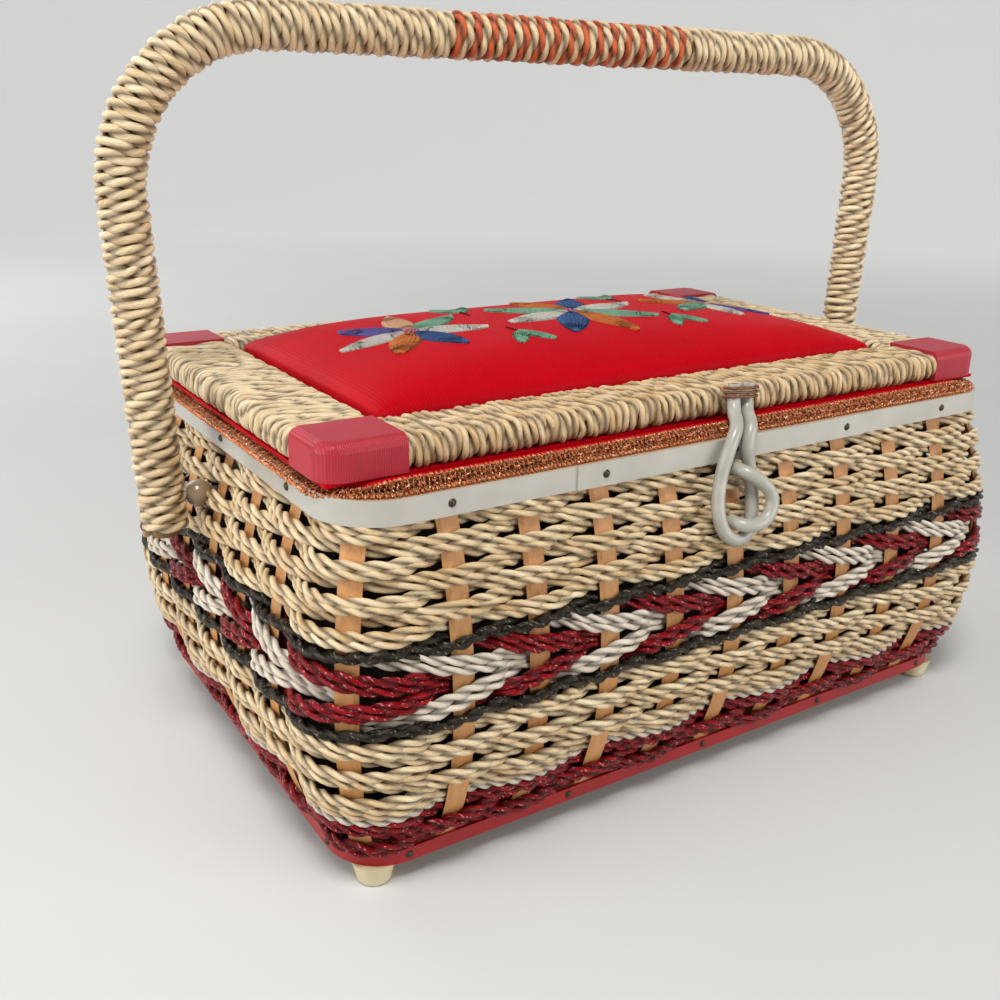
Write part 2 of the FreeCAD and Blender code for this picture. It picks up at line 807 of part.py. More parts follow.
# Handle: a bent core on two pivot pins, wound with cord
pivot_height = rim_bottom - pivot_drop
handle_top = pivot_height + handle_rise
leg_x = rim_length / 2 + leg_reach
leg_bottom = pivot_height - leg_end_below_pivot
corner_x = leg_x + leg_flare * (handle_top - pivot_height) / (handle_top - handle_bend_radius - pivot_height)
leg_slope = (corner_x - leg_x) / (handle_top - pivot_height)
leg_foot_x = leg_x - leg_slope * leg_end_below_pivot
leg_direction = Vector(-leg_slope, 0, 1).normalize()
bend_turn = acos(leg_direction.dot(x_way))
bend_trim = handle_bend_radius * tan(bend_turn / 2)
foot_point = Vector(-leg_foot_x, pivot_back, leg_bottom)
corner_point = Vector(-corner_x, pivot_back, handle_top)
bend_start = corner_point - leg_direction * bend_trim
bend_end = corner_point + x_way * bend_trim
leg_length = (bend_start - foot_point).Length
bend_length = handle_bend_radius * bend_turn
bar_length = 2 * abs(bend_end.x)
bend_centre = Vector(bend_end.x, pivot_back, handle_top - handle_bend_radius)
half_length = leg_length + bend_length + bar_length / 2


def mirror_x(point):
    """The same point on the other side of the basket."""
    return Vector(-point.x, point.y, point.z)


def handle_frame(run):
    """Place, direction and inward direction on the core's middle line, run from the left foot."""
    if run > half_length:
        place, direction, inward = handle_frame(2 * half_length - run)
        return mirror_x(place), Vector(direction.x, direction.y, -direction.z), mirror_x(inward)
    if run <= leg_length:
        direction = leg_direction
        place = foot_point + direction * run
    elif run <= leg_length + bend_length:
        turn = (run - leg_length) / handle_bend_radius
        start = bend_start - bend_centre
        side = leg_direction
        outward = start.normalize()
        place = bend_centre + (outward * cos(turn) + side * sin(turn)) * handle_bend_radius
        direction = side * cos(turn) - outward * sin(turn)
    else:
        direction = x_way
        place = bend_end + x_way * (run - leg_length - bend_length)
    return place, direction, Vector(direction.z, 0, -direction.x)


core_edges = [
    Part.LineSegment(foot_point, bend_start).toShape(),
    arc_from(bend_start, leg_direction, bend_end),
    Part.LineSegment(bend_end, mirror_x(bend_end)).toShape(),
    arc_from(mirror_x(bend_end), x_way, mirror_x(bend_start)),
    Part.LineSegment(mirror_x(bend_start), mirror_x(foot_point)).toShape(),
]
handle_core = tube(core_edges, foot_point, leg_direction, handle_core_radius)
wrap_radius = handle_core_radius + wrap_clearance + wrap_diameter / 2


def handle_winding(start, length, loops, phase, name):
    """Winding round the core from one place along it."""
    pitch = length / loops
    across = Vector(0, 1, 0)
    places = []
    directions = []
    for quarter in range(4 * loops + 1):
        angle = phase + quarter * pi / 2
        middle, direction, inward = handle_frame(start + pitch * quarter / 4)
        spoke = inward * cos(angle) + across * sin(angle)
        sweep = across * cos(angle) - inward * sin(angle)
        places.append(middle + spoke * wrap_radius)
        directions.append((sweep * (2 * pi * wrap_radius) + direction * pitch).normalize())
    return winding(places, directions, wrap_diameter, name)


wound_end = half_length - grip_length / 2 - wrap_diameter
wound_start = wrap_diameter
wound_half = (wound_end - wound_start) / 2
wound_length = wound_half - wrap_diameter - wrap_break
second_start = wound_start + wound_half
right_foot_start = 2 * half_length - wound_start - wound_length
right_bend_start = 2 * half_length - wound_start - wound_half - wound_length
wrap_leg_left = handle_winding(wound_start, wound_length, wrap_loops, 0.0, "handle_wrap_leg_left")
wrap_bend_left = handle_winding(second_start, wound_length, wrap_loops, 0.0, "handle_wrap_bend_left")
wrap_leg_right = handle_winding(right_foot_start, wound_length, wrap_loops, 0.0, "handle_wrap_leg_right")
wrap_bend_right = handle_winding(right_bend_start, wound_length, wrap_loops, 0.0, "handle_wrap_bend_right")
grip_start = half_length - grip_length / 2 + wrap_diameter
grip_run = grip_length - 2 * wrap_diameter
grip_natural = handle_winding(grip_start, grip_run, wrap_loops // 2, 0.0, "grip_wrap_natural")
grip_orange = handle_winding(grip_start, grip_run, wrap_loops // 2, pi, "grip_wrap_orange")

# Pivots: plates inside the wall, pins through the weave, beads between wall and handle
plate_outer = rim_length / 2 + hoop_inner_end - seat_gap
plate_inner = plate_outer - plate_thickness
wrap_inner_face = leg_x - wrap_radius - wrap_diameter / 2
bead_outer = wrap_inner_face - bead_gap
bead_inner = bead_outer - 2 * sqrt(bead_radius ** 2 - bead_end_radius ** 2)
bead_middle = (bead_outer + bead_inner) / 2
pin_end = leg_x + handle_core_radius - pin_end_cover
plates = []
pins = []
beads = []
weave_cuts = []
for sign in (-1, 1):
    way = Vector(sign, 0, 0)

    def on_axis(distance):
        """Point on the pivot axis at a distance from the basket's middle."""
        return Vector(sign * distance, pivot_back, pivot_height)

    low_x = min(sign * plate_inner, sign * plate_outer)
    plate = Part.makeBox(plate_thickness, plate_width, plate_height,
                         Vector(low_x, pivot_back - plate_width / 2, pivot_height - plate_height / 2))
    bore = Part.makeCylinder(pin_radius + pin_clearance, pin_end - plate_inner, on_axis(plate_inner), way)
    plates.append(plate.cut(bore))
    head = Part.makeCylinder(pin_head_radius, pin_head_height,
                             on_axis(plate_inner - seat_gap - pin_head_height), way)
    shank = Part.makeCylinder(pin_radius, pin_end - plate_inner + seat_gap,
                              on_axis(plate_inner - seat_gap), way)
    pins.append(head.fuse(shank).removeSplitter())
    across = Vector(0, 1, 0)
    bore_radius = pin_radius + pin_clearance
    outline = [
        Part.LineSegment(on_axis(bead_inner) + across * bore_radius,
                         on_axis(bead_inner) + across * bead_end_radius).toShape(),
        Part.Arc(on_axis(bead_inner) + across * bead_end_radius, on_axis(bead_middle) + across * bead_radius,
                 on_axis(bead_outer) + across * bead_end_radius).toShape(),
        Part.LineSegment(on_axis(bead_outer) + across * bead_end_radius,
                         on_axis(bead_outer) + across * bore_radius).toShape(),
        Part.LineSegment(on_axis(bead_outer) + across * bore_radius,
                         on_axis(bead_inner) + across * bore_radius).toShape(),
    ]
    bead_half = Part.Face(Part.Wire(outline))
    beads.append(bead_half.revolve(on_axis(bead_middle), way, 360))
    handle_core = handle_core.cut(bore)
    weave_cuts.append(Part.makeCylinder(pin_radius + row_clearance, leg_x - plate_outer,
                                        on_axis(plate_outer), way))
    weave_cuts.append(Part.makeSphere(bead_radius + row_clearance, on_axis(bead_middle)))

for name, rows in woven.items():
    pierced = []
    for row in rows:
        for cutter in weave_cuts:
            if row.BoundBox.intersect(cutter.BoundBox):
                row = row.cut(cutter)
        pierced.append(row)
    woven[name] = pierced
wraps_on_pins = []
for wrap, sign in ((wrap_leg_left, -1), (wrap_leg_right, 1)):
    clear = Part.makeCylinder(pin_radius + row_clearance, leg_x - bead_outer,
                              Vector(sign * bead_outer, pivot_back, pivot_height), Vector(sign, 0, 0))
    wraps_on_pins.append(wrap.cut(clear))
wrap_leg_left, wrap_leg_right = wraps_on_pins

# Latch: loop of tube that hangs from the lid's front bar and hooks under the ring on the wall
tube_radius = tube_diameter / 2


def front_of_wall(height):
    """Y of the outermost strands of the front wall at a height."""
    return -(stake_half_y + swell(height) + wave_depth + strand_depth / 2)


def on_wall(point):
    """Middle of a tube beside the front wall."""
    x, clear, drop = point
    height = rim_bottom - drop
    return Vector(x, front_of_wall(height) - tube_radius - clear, height)


def on_rim(point):
    """Middle of a tube beside the strip on the front of the rim."""
    x, clear, drop = point
    return Vector(x, -rim_depth / 2 - patch_thickness - tube_radius - clear, rim_top - drop)


def on_lid(point):
    """Middle of a tube in front of the lid."""
    x, ahead, drop = point
    return Vector(x, lid_front - ahead, lid_top - drop)


loop_points = [on_lid(point) for point in loop_left_on_lid]
loop_points.append(on_rim(loop_left_on_rim))
loop_points += [on_wall(point) for point in loop_on_wall]
loop_points.append(on_rim(loop_right_on_rim))
loop_points += [on_lid(point) for point in loop_right_on_lid]
latch_loop = routed_tube(loop_points, tube_radius, "latch_loop")
latch_ring = routed_tube([on_wall(point) for point in ring_on_wall], tube_radius, "latch_ring")

tie_way = (loop_points[1] - loop_points[0]).normalize()
tie_depth = tube_radius + tie_clearance + tie_wire_diameter / 2
tie_half = (loop_points[-1] - loop_points[0]).Length / 2 + tie_depth
tie_across = tie_way.cross(x_way).normalize()
tie_along = tie_across.cross(tie_way)
tie_middle = (loop_points[0] + loop_points[-1]) / 2 + tie_way * tie_reach
tie_places = []
tie_directions = []
for quarter in range(4 * tie_turns + 1):
    angle = quarter * pi / 2
    flat = tie_along * (tie_half * cos(angle)) + tie_across * (tie_depth * sin(angle))
    heading = (tie_across * (tie_depth * cos(angle)) - tie_along * (tie_half * sin(angle))).normalize()
    rise = tie_way * (tie_pitch * (quarter / 4 - tie_turns / 2))
    tie_places.append(tie_middle + flat + rise)
    tie_directions.append((heading + tie_way * (tie_pitch / (2 * pi * tie_half))).normalize())
latch_tie = winding(tie_places, tie_directions, tie_wire_diameter, "latch_tie")

# Nodes
nodes = {
    "base_board": [board],
    "base_band": [base_band],
    "base_band_nails": base_nails,
    "feet": foot_solids,
    "foot_nails": foot_nails,
    "rim_hoop_outer": [hoop_outer],
    "rim_hoop_inner": [hoop_inner],
    "rim_band": [rim_band],
    "rim_band_patch": [patch],
    "rim_tacks": tacks,
    "gimp_braid": [braid],
    "liner_floor": [liner_floor],
    "liner_front": [liner_front],
    "liner_back": [liner_back],
    "liner_left": [liner_left],
    "liner_right": [liner_right],
    "liner_corners": liner_corners,
    "pivot_plates": plates,
    "hinge_leaves_rim": body_leaves,
    "hinge_screws_rim": body_screws,
    "latch_ring": [latch_ring],
    "pivot_pins": pins,
    "bead_spacers": beads,
    "handle_core": [handle_core],
    "handle_wrap_leg_left": [wrap_leg_left],
    "handle_wrap_bend_left": [wrap_bend_left],
    "handle_wrap_bend_right": [wrap_bend_right],
    "handle_wrap_leg_right": [wrap_leg_right],
    "grip_wrap_natural": [grip_natural],
    "grip_wrap_orange": [grip_orange],
    "lid_bar_front": [bar_front],
    "lid_bar_back": [bar_back],
    "lid_bar_left": [bar_left],
    "lid_bar_right": [bar_right],
    "lid_wrap_front": [wrap_front],
    "lid_wrap_back": [wrap_back],
    "lid_wrap_left": [wrap_left],
    "lid_wrap_right": [wrap_right],
    "corner_blocks": corner_blocks,
    "pad_board": [pad_board],
    "lid_pad": [lid_pad],
    "lid_lining": [lid_lining],
    "hinge_leaves_lid": lid_leaves,
    "hinge_screws_lid": lid_screws,
    "hinge_pins": hinge_pins,
    "latch_tie": [latch_tie],
    "latch_loop": [latch_loop],
}
arrow = woven.pop("weave_arrow")
nodes["weave_arrow_red"] = arrow[1:3]
nodes["weave_arrow_white"] = [arrow[0], arrow[3]]
nodes["weave_dark"] = woven.pop("weave_dark_lower") + woven.pop("weave_dark_upper")
nodes.update(woven)
nodes.update(stake_groups)

os.makedirs("parts", exist_ok=True)
for name, solids in nodes.items():
    shape = solids[0] if len(solids) == 1 else Part.makeCompound(solids)
    if len(shape.Solids) != len(solids) or not shape.isValid():
        print("check", name, len(shape.Solids), "of", len(solids), shape.isValid())
    shape.exportStep("parts/" + name + ".step")
print("nodes", len(nodes))
for name, gap in gap_report.items():
    print(name, "least gap to itself", round(gap, 2))
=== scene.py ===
# %% [markdown]
# # A wicker sewing box, dressed
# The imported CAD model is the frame: it already has the boards, hoops, hinges, stakes and the
# plain solids of every woven or stuffed piece, all in metres and each on the body it moves with.
# Here each woven, wound and stuffed solid is replaced by the real thing, and so are the stakes, the
# soft tubes and the corner blocks. Every other node gets its finish.

import bmesh
import bpy
import numpy as np
from mathutils import Matrix, Vector
from mathutils.bvhtree import BVHTree


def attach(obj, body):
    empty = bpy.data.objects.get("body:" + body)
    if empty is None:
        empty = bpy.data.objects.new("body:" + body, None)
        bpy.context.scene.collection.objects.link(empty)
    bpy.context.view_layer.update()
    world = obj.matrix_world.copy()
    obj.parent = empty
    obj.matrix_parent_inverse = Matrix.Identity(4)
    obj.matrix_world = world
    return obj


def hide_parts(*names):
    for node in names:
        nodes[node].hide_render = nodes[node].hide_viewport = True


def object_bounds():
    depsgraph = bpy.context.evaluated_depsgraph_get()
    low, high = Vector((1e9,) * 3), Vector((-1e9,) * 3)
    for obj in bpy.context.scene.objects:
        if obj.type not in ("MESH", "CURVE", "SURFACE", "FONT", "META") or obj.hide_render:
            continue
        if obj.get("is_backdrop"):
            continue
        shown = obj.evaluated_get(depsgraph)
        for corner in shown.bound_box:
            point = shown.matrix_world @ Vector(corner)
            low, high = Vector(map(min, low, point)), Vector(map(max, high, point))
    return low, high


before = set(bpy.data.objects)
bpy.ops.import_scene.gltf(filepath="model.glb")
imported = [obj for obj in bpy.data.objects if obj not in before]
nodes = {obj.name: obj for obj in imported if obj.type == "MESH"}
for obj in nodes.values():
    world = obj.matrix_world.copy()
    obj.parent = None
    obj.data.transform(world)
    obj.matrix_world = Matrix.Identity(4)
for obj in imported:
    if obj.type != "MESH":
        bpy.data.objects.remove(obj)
cad_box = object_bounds()
mm = 0.001
luck = np.random.default_rng(7)

# %% [markdown]
# ## The camera
# The box is seen from its front left corner, a little from above. A camera could be aimed with a
# Track To constraint, but a place and three directions say exactly how the picture was taken:
# where the lens is, and which way its right, its top and its back point.


# %% The camera
def add_object(name, data):
    """A new object with these data, in the scene."""
    made = bpy.data.objects.new(name, data)
    bpy.context.scene.collection.objects.link(made)
    return made


camera_place = Vector((-265.94, -356.84, 239.38)) * mm
camera_right = (0.8418, -0.5395, 0.0190)
camera_top = (0.1669, 0.2936, 0.9413)
camera_back = (-0.5134, -0.7891, 0.3372)
lens = bpy.data.cameras.new("camera")
lens.lens = 39.15
lens.sensor_width = 36.0
camera = add_object("camera", lens)
camera_turn = Matrix((camera_right, camera_top, camera_back)).transposed().to_4x4()
camera.matrix_world = Matrix.Translation(camera_place) @ camera_turn
bpy.context.scene.camera = camera
bpy.context.scene.view_settings.view_transform = "Standard"
print("camera at", [round(value, 3) for value in camera_place])

# %% [markdown]
# ## The latch: a loop and a ring of soft tube
# A loop of soft tube hangs from the lid's front bar and hooks under a smaller ring on the wall. A
# tube could be swept as a mesh, but a NURBS curve with a round bevel bends as smoothly as the
# tube does, and its few control points are easy to read: they lie along the tube's route, in
# millimetres. The order and the end points are set after the points are added, because set
# before, they fall back to straight runs.


# %% The latch
def soft_tube(name, points, thickness):
    """A smooth bevelled curve with these control points, in millimetres."""
    curve = bpy.data.curves.new(name, "CURVE")
    curve.dimensions = "3D"
    curve.bevel_depth = 1.0
    curve.bevel_resolution = 6
    curve.use_fill_caps = True
    spline = curve.splines.new("NURBS")
    spline.points.add(len(points) - 1)
    for control, (x, y, z) in zip(spline.points, points):
        control.co = (x * mm, y * mm, z * mm, 1.0)
        control.radius = thickness / 2 * mm
    spline.order_u = 3
    spline.use_endpoint_u = True
    spline.resolution_u = 10
    return add_object(name, curve)


def fit(piece, body, slot, *stands_for):
    """Says what a piece moves with and which nodes it stands for; slot is not used."""
    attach(piece, body)
    if stands_for:
        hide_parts(*stands_for)


tube_thickness = 4.8
loop_points = [
    (4.7, -89.5, 151.2), (3.6, -90.7, 142.2), (-1.6, -99.3, 139.2), (-6.6, -101.3, 132.8),
    (-10.2, -101.72, 123.0), (-13.6, -104.77, 113.5), (-12.4, -107.30, 104.6),
    (-6.0, -108.32, 100.2), (0.4, -107.53, 102.8), (2.8, -105.44, 110.5), (3.6, -102.92, 119.0),
    (3.4, -100.90, 126.0), (1.6, -101.2, 132.4), (5.2, -99.1, 139.0), (9.6, -90.7, 141.8),
    (11.4, -89.5, 151.0),
]
ring_points = [
    (-3.0, -99.36, 124.8), (-2.4, -105.33, 124.6), (3.2, -109.23, 121.0), (7.2, -110.81, 115.0),
    (4.4, -112.07, 108.6), (-2.0, -111.65, 106.4), (-6.2, -109.29, 107.0), (-6.9, -104.89, 107.4),
]
loop = soft_tube("latch_loop_tube", loop_points, tube_thickness)
ring = soft_tube("latch_ring_tube", ring_points, tube_thickness)
fit(loop, "latch", "vinyl_tube", "latch_loop")
fit(ring, "basket", "vinyl_tube", "latch_ring")
print("latch: a loop of", len(loop_points), "points and a ring of", len(ring_points))

# %% [markdown]
# ## Writing finishes as sums
# A finish is a node tree, and a tree is easiest to read as arithmetic. `Wire` wraps one output
# socket, and each Python operator on it adds a Math node, also when the wire stands on the right,
# as in `1 - mask`. Every other node comes from `Finish.node`, which takes the node's type, its
# settings, which have to be set first because they change its sockets, and then what goes into
# its sockets. Colours are written as they look on a screen, and `tint` turns them into the linear
# light that a shader works in.


# %% Wires
class Wire:
    """An output socket that takes part in Python sums."""

    def __init__(self, finish, socket):
        self.finish = finish
        self.socket = socket

    def math(self, operation, first, second):
        return self.finish.node("ShaderNodeMath", {"operation": operation}, {0: first, 1: second})

    def __add__(self, other):
        return self.math("ADD", self, other)

    def __radd__(self, other):
        return self.math("ADD", other, self)

    def __sub__(self, other):
        return self.math("SUBTRACT", self, other)

    def __rsub__(self, other):
        return self.math("SUBTRACT", other, self)

    def __mul__(self, other):
        return self.math("MULTIPLY", self, other)

    def __rmul__(self, other):
        return self.math("MULTIPLY", other, self)

    def __pow__(self, other):
        return self.math("POWER", self, other)


print("wires: sums on sockets")


# %% Finishes
class Finish:
    """A material, and the one method that adds nodes to it."""

    def __init__(self, name):
        self.material = bpy.data.materials.new(name)
        self.material.use_nodes = True
        self.tree = self.material.node_tree
        self.shader = self.tree.nodes["Principled BSDF"]

    def fill(self, holder, inputs):
        for name, value in inputs.items():
            if isinstance(value, Wire):
                self.tree.links.new(value.socket, holder.inputs[name])
            else:
                holder.inputs[name].default_value = value

    def node(self, kind, settings, inputs, output=0):
        made = self.tree.nodes.new(kind)
        for name, value in settings.items():
            setattr(made, name, value)
        self.fill(made, inputs)
        return Wire(self, made.outputs[output])

    def mix(self, factor, first, second):
        """A colour between two colours."""
        return self.node("ShaderNodeMix", {"data_type": "RGBA"}, {0: factor, 6: first, 7: second}, 2)

    def place(self):
        """Where a point lies on the piece at rest, in metres."""
        return self.node("ShaderNodeTexCoord", {}, {}, "Object")

    def stretch(self, vector, by):
        return self.node("ShaderNodeVectorMath", {"operation": "MULTIPLY"}, {0: vector, 1: by})

    def noise(self, vector, scale, detail=3.0):
        return self.node("ShaderNodeTexNoise", {}, {"Vector": vector, "Scale": scale, "Detail": detail})

    def within(self, value):
        """A wire held between 0 and 1."""
        return self.node("ShaderNodeClamp", {}, {"Value": value})

    def bump(self, height, distance, strength=1.0):
        return self.node("ShaderNodeBump", {},
                         {"Strength": strength, "Distance": distance, "Height": height})

    def paint(self, inputs):
        self.fill(self.shader, inputs)
        return self.material


print("finishes: materials made of wires")


# %% Tints and dressing
def tint(red, green, blue):
    """A screen colour, 0 to 255, as the linear light that a shader works in."""
    levels = [value / 255 for value in (red, green, blue)]
    linear = [((v + 0.055) / 1.055) ** 2.4 if v > 0.04045 else v / 12.92 for v in levels]
    return (*linear, 1.0)


def dress(piece, material):
    """Puts one material on a node or a piece."""
    if piece.material_slots:
        for holder in piece.material_slots:
            holder.material = material
    else:
        piece.data.materials.append(material)


print("tints: mid grey is", round(tint(128, 128, 128)[0], 3))

# %% [markdown]
# ## Soft tube
# The tube is soft grey-white vinyl, a little yellowed, with a gentle gloss. Real vinyl lets some
# light in, and subsurface scattering would show that, but an exported model can't keep it. So a
# faintly mottled colour with a thin coat carries the look.

# %% Soft tube finish
vinyl = Finish("vinyl_tube")
mottle = vinyl.noise(vinyl.place(), 160.0)
vinyl_colour = vinyl.mix(mottle, tint(144, 141, 130), tint(186, 183, 171))
vinyl_bump = vinyl.bump(vinyl.noise(vinyl.place(), 900.0), 0.00012, 0.3)
vinyl_material = vinyl.paint({
    "Base Color": vinyl_colour,
    "Roughness": 0.32,
    "Normal": vinyl_bump,
    "Coat Weight": 0.25,
    "Coat Roughness": 0.2,
})
for tube in (loop, ring):
    dress(tube, vinyl_material)
print("finish:", vinyl_material.name)

# %% [markdown]
# ## Twisted cord
# Most of what shows on this box is cord: two plies of paper or film twisted round each other. A
# plain tube with a bump would look flat at the outline, so the two plies are modelled. The
# section is two circles side by side, and it turns as it travels along a line. Each line comes
# with its own outward and upward directions, so no frame has to be guessed. Hand-twisted cord is
# a little uneven, so the twist drifts along the way. Three facts are stored on the points for the
# finish to use: the place along and around the cord, how deep in the groove between the plies a
# point lies, and a shade that differs from cord to cord.


# %% Twisted cord
drift_length = 14.0


def ply_section(sides, ply_offset, ply_radius):
    """Angles and radii of two circles side by side, for a cord of radius 1."""
    angle = np.arange(sides) * 2 * np.pi / sides
    reach = ply_radius**2 - (ply_offset * np.sin(angle)) ** 2
    return angle, ply_offset * np.abs(np.cos(angle)) + np.sqrt(reach)


def twisted(line, radius, twist, sides=12, ply_offset=0.44, ply_radius=0.56, uneven=0.12):
    """Points, faces and facts of one cord along a line of places, outward and upward directions."""
    places, outward, upward, closed = line
    steps = len(places)
    gaps = np.linalg.norm(np.diff(places, axis=0), axis=1)
    along = np.concatenate([[0.0], np.cumsum(gaps)])
    total = along[-1]
    if closed:
        total = total + np.linalg.norm(places[0] - places[-1])
        twist = total / round(2 * total / twist) * 2
    drift = luck.normal(size=max(3, int(total / drift_length))) * uneven
    drift[-1] = drift[0]
    turns = along / twist + np.interp(along, np.linspace(0, total, len(drift)), drift) + luck.random()
    angle, reach = ply_section(sides, ply_offset, ply_radius)
    turn = angle[None, :] - 2 * np.pi * turns[:, None]
    spoke = np.cos(turn)[:, :, None] * outward[:, None, :]
    spoke = spoke + np.sin(turn)[:, :, None] * upward[:, None, :]
    points = places[:, None, :] + radius * reach[None, :, None] * spoke
    ring_index = np.arange(steps if closed else steps - 1)
    side_index = np.arange(sides)
    low = ring_index[:, None] * sides
    high = ((ring_index + 1) % steps)[:, None] * sides
    after = (side_index + 1) % sides
    quads = np.stack([low + side_index, high + side_index, high + after, low + after], axis=-1)
    fibre = np.stack([
        np.broadcast_to(along[:, None], (steps, sides)),
        np.broadcast_to(np.cos(angle), (steps, sides)),
        np.broadcast_to(np.sin(angle), (steps, sides)),
    ], axis=-1)
    groove = np.broadcast_to((1 - np.cos(2 * angle)) / 2, (steps, sides))
    ends = [] if closed else [np.arange(sides), (steps - 1) * sides + np.arange(sides)[::-1]]
    return points.reshape(-1, 3), quads.reshape(-1, 4), ends, fibre.reshape(-1, 3), groove.ravel()


print("cord: two plies, with a twist that drifts every", drift_length, "mm")


# %% Pieces of cord
def cord_piece(name, lines, radius, twist, **section):
    """One piece of many twisted cords."""
    points, quads, ends, fibres, grooves, shades = [], [], [], [], [], []
    count = 0
    for line in lines:
        some, four, caps, fibre, groove = twisted(line, radius, twist, **section)
        offset = luck.random() * 1000
        points.append(some)
        quads.append(four + count)
        ends.extend(cap + count for cap in caps)
        fibres.append(fibre + np.array([offset, 0, 0]))
        grooves.append(groove)
        shades.append(np.full(len(some), luck.random()))
        count = count + len(some)
    quads = np.concatenate(quads)
    mesh = bpy.data.meshes.new(name)
    mesh.vertices.add(count)
    mesh.vertices.foreach_set("co", (np.concatenate(points) * mm).ravel())
    sizes = np.array([4] * len(quads) + [len(end) for end in ends])
    corners = np.concatenate([quads.ravel(), *ends])
    mesh.loops.add(len(corners))
    mesh.loops.foreach_set("vertex_index", corners)
    mesh.polygons.add(len(sizes))
    mesh.polygons.foreach_set("loop_start", np.concatenate([[0], np.cumsum(sizes)[:-1]]))
    mesh.polygons.foreach_set("loop_total", sizes)
    mesh.polygons.foreach_set("use_smooth", np.ones(len(sizes), bool))
    mesh.update(calc_edges=True)
    mesh.attributes.new("fibre", "FLOAT_VECTOR", "POINT").data.foreach_set(
        "vector", np.concatenate(fibres).ravel())
    for fact, values in (("groove", grooves), ("shade", shades)):
        mesh.attributes.new(fact, "FLOAT", "POINT").data.foreach_set("value", np.concatenate(values))
    print("cord:", name, len(lines), "lines,", len(sizes), "faces")
    return add_object(name, mesh)


# %% [markdown]
# ## Cord finishes
# Paper cord is straw with a soft gloss and fine fibres along the ply, and the groove between the
# plies is painted dark brown: painted shade. The red and the dark cord are twisted from shiny film,
# so they are smoother and their shine is tinted, and pale specks on them are partly film worn
# through and partly painted glints. One function makes them all, because they differ in colour,
# gloss, specks and painted groove shade alone. The fibres are a noise stretched along the ply: the
# stored place around the cord turns with the plies, so the fibres do too.


# %% Cord finishes
def cord_finish(name, pale, deep, roughness, shine, glint=tint(255, 255, 255), chip_glint_colour=None, painted_groove_shade=0.92):
    """Twisted cord in two shades, with its shine's level and tint; film may carry pale specks, partly
    worn through and partly painted glints, and the last argument says how much painted shade darkens the
    groove."""
    finish = Finish(name)
    fibre = finish.node("ShaderNodeAttribute", {"attribute_name": "fibre"}, {}, "Vector")
    groove = finish.node("ShaderNodeAttribute", {"attribute_name": "groove"}, {}, "Fac")
    shade = finish.node("ShaderNodeAttribute", {"attribute_name": "shade"}, {}, "Fac")
    strands = finish.noise(finish.stretch(fibre, (0.16, 3.4, 3.4)), 2.2, 4.0)
    patches = finish.noise(finish.stretch(fibre, (0.05, 0.3, 0.3)), 1.0, 2.0)
    worn = strands * 1.5 + patches * 1.1 + shade * 0.3 - 0.95
    colour = finish.mix(finish.within(worn), deep, pale)
    if chip_glint_colour:
        # Pale specks on the film: partly film worn through, partly painted glints.
        chip_glints = finish.noise(finish.stretch(fibre, (0.5, 1.4, 1.4)), 1.6, 2.0)
        colour = finish.mix(finish.within((chip_glints - 0.62) * 16.0), colour, chip_glint_colour)
    # The groove between the plies is darkened towards a fifth of the deep colour: painted shade.
    dark = [channel * 0.2 for channel in deep[:3]]
    colour = finish.mix(groove**1.8 * painted_groove_shade, colour, (*dark, 1.0))
    return finish.paint({
        "Base Color": colour,
        "Roughness": strands * 0.2 + roughness,
        "Normal": finish.bump(strands, 0.0005, 0.8),
        "Specular IOR Level": shine,
        "Specular Tint": glint,
    })


cord_looks = {
    "natural_cord": (tint(250, 234, 196), tint(194, 150, 88), 0.26, 0.7),
    "white_cord": (tint(238, 227, 210), tint(206, 190, 168), 0.4, 0.45),
    "red_cord": (tint(150, 0, 13), tint(88, 0, 7), 0.08, 0.35, tint(255, 190, 190), tint(222, 146, 142)),
    "dark_cord": (tint(38, 33, 24), tint(12, 10, 7), 0.1, 0.35, tint(255, 240, 215), tint(146, 138, 120)),
    "orange_cord": (tint(226, 112, 44), tint(182, 70, 20), 0.3, 0.6),
}
cord_finishes = {cord: cord_finish(cord, *look) for cord, look in cord_looks.items()}
print("finishes:", ", ".join(cord_finishes))

# %% [markdown]
# ## The tube's open ends
# The loop's two ends point up behind their tie and show the tube's bore, which lies in shade.
# Boring the curve would need a second surface, so a short dark plug just proud of each end stands
# for it: the shade in the bore is painted on the plug.

# %% The tube's open ends
bore_radius = 1.3
plug_proud = 0.06
untwisted = 1000.0
round_section = {"ply_offset": 0.0, "ply_radius": 1.0, "uneven": 0.0}
plugs = []
for end_point, before in ((loop_points[0], loop_points[1]), (loop_points[-1], loop_points[-2])):
    end_place = np.array(end_point)
    end_way = end_place - np.array(before)
    end_way = end_way / np.linalg.norm(end_way)
    plug_line = np.stack([end_place - end_way, end_place + plug_proud * end_way])
    to_side = np.cross(end_way, (1.0, 0.0, 0.0))
    to_side = np.broadcast_to(to_side / np.linalg.norm(to_side), plug_line.shape)
    plugs.append((plug_line, to_side, np.cross(end_way, to_side), False))
bore_shade_plugs = cord_piece("latch_bore_shade_plugs", plugs, bore_radius, untwisted, **round_section)
# The plugs' dark colour is painted shade: the shade inside the tube's bore.
dress(bore_shade_plugs, cord_finish("bore_shade", tint(52, 48, 42), tint(30, 27, 24), 0.6, 0.2))
fit(bore_shade_plugs, "latch", "vinyl_tube")

# %% [markdown]
# ## The wall's line
# The weave follows the stakes: up the wall in a belly, and round the basket on a rounded
# rectangle. That outline is a rectangle of corner centres, pushed out by the corner's radius, so
# three interpolations along the way round give the heading and the corner centre, and a point at
# any distance outside the line is one sum.

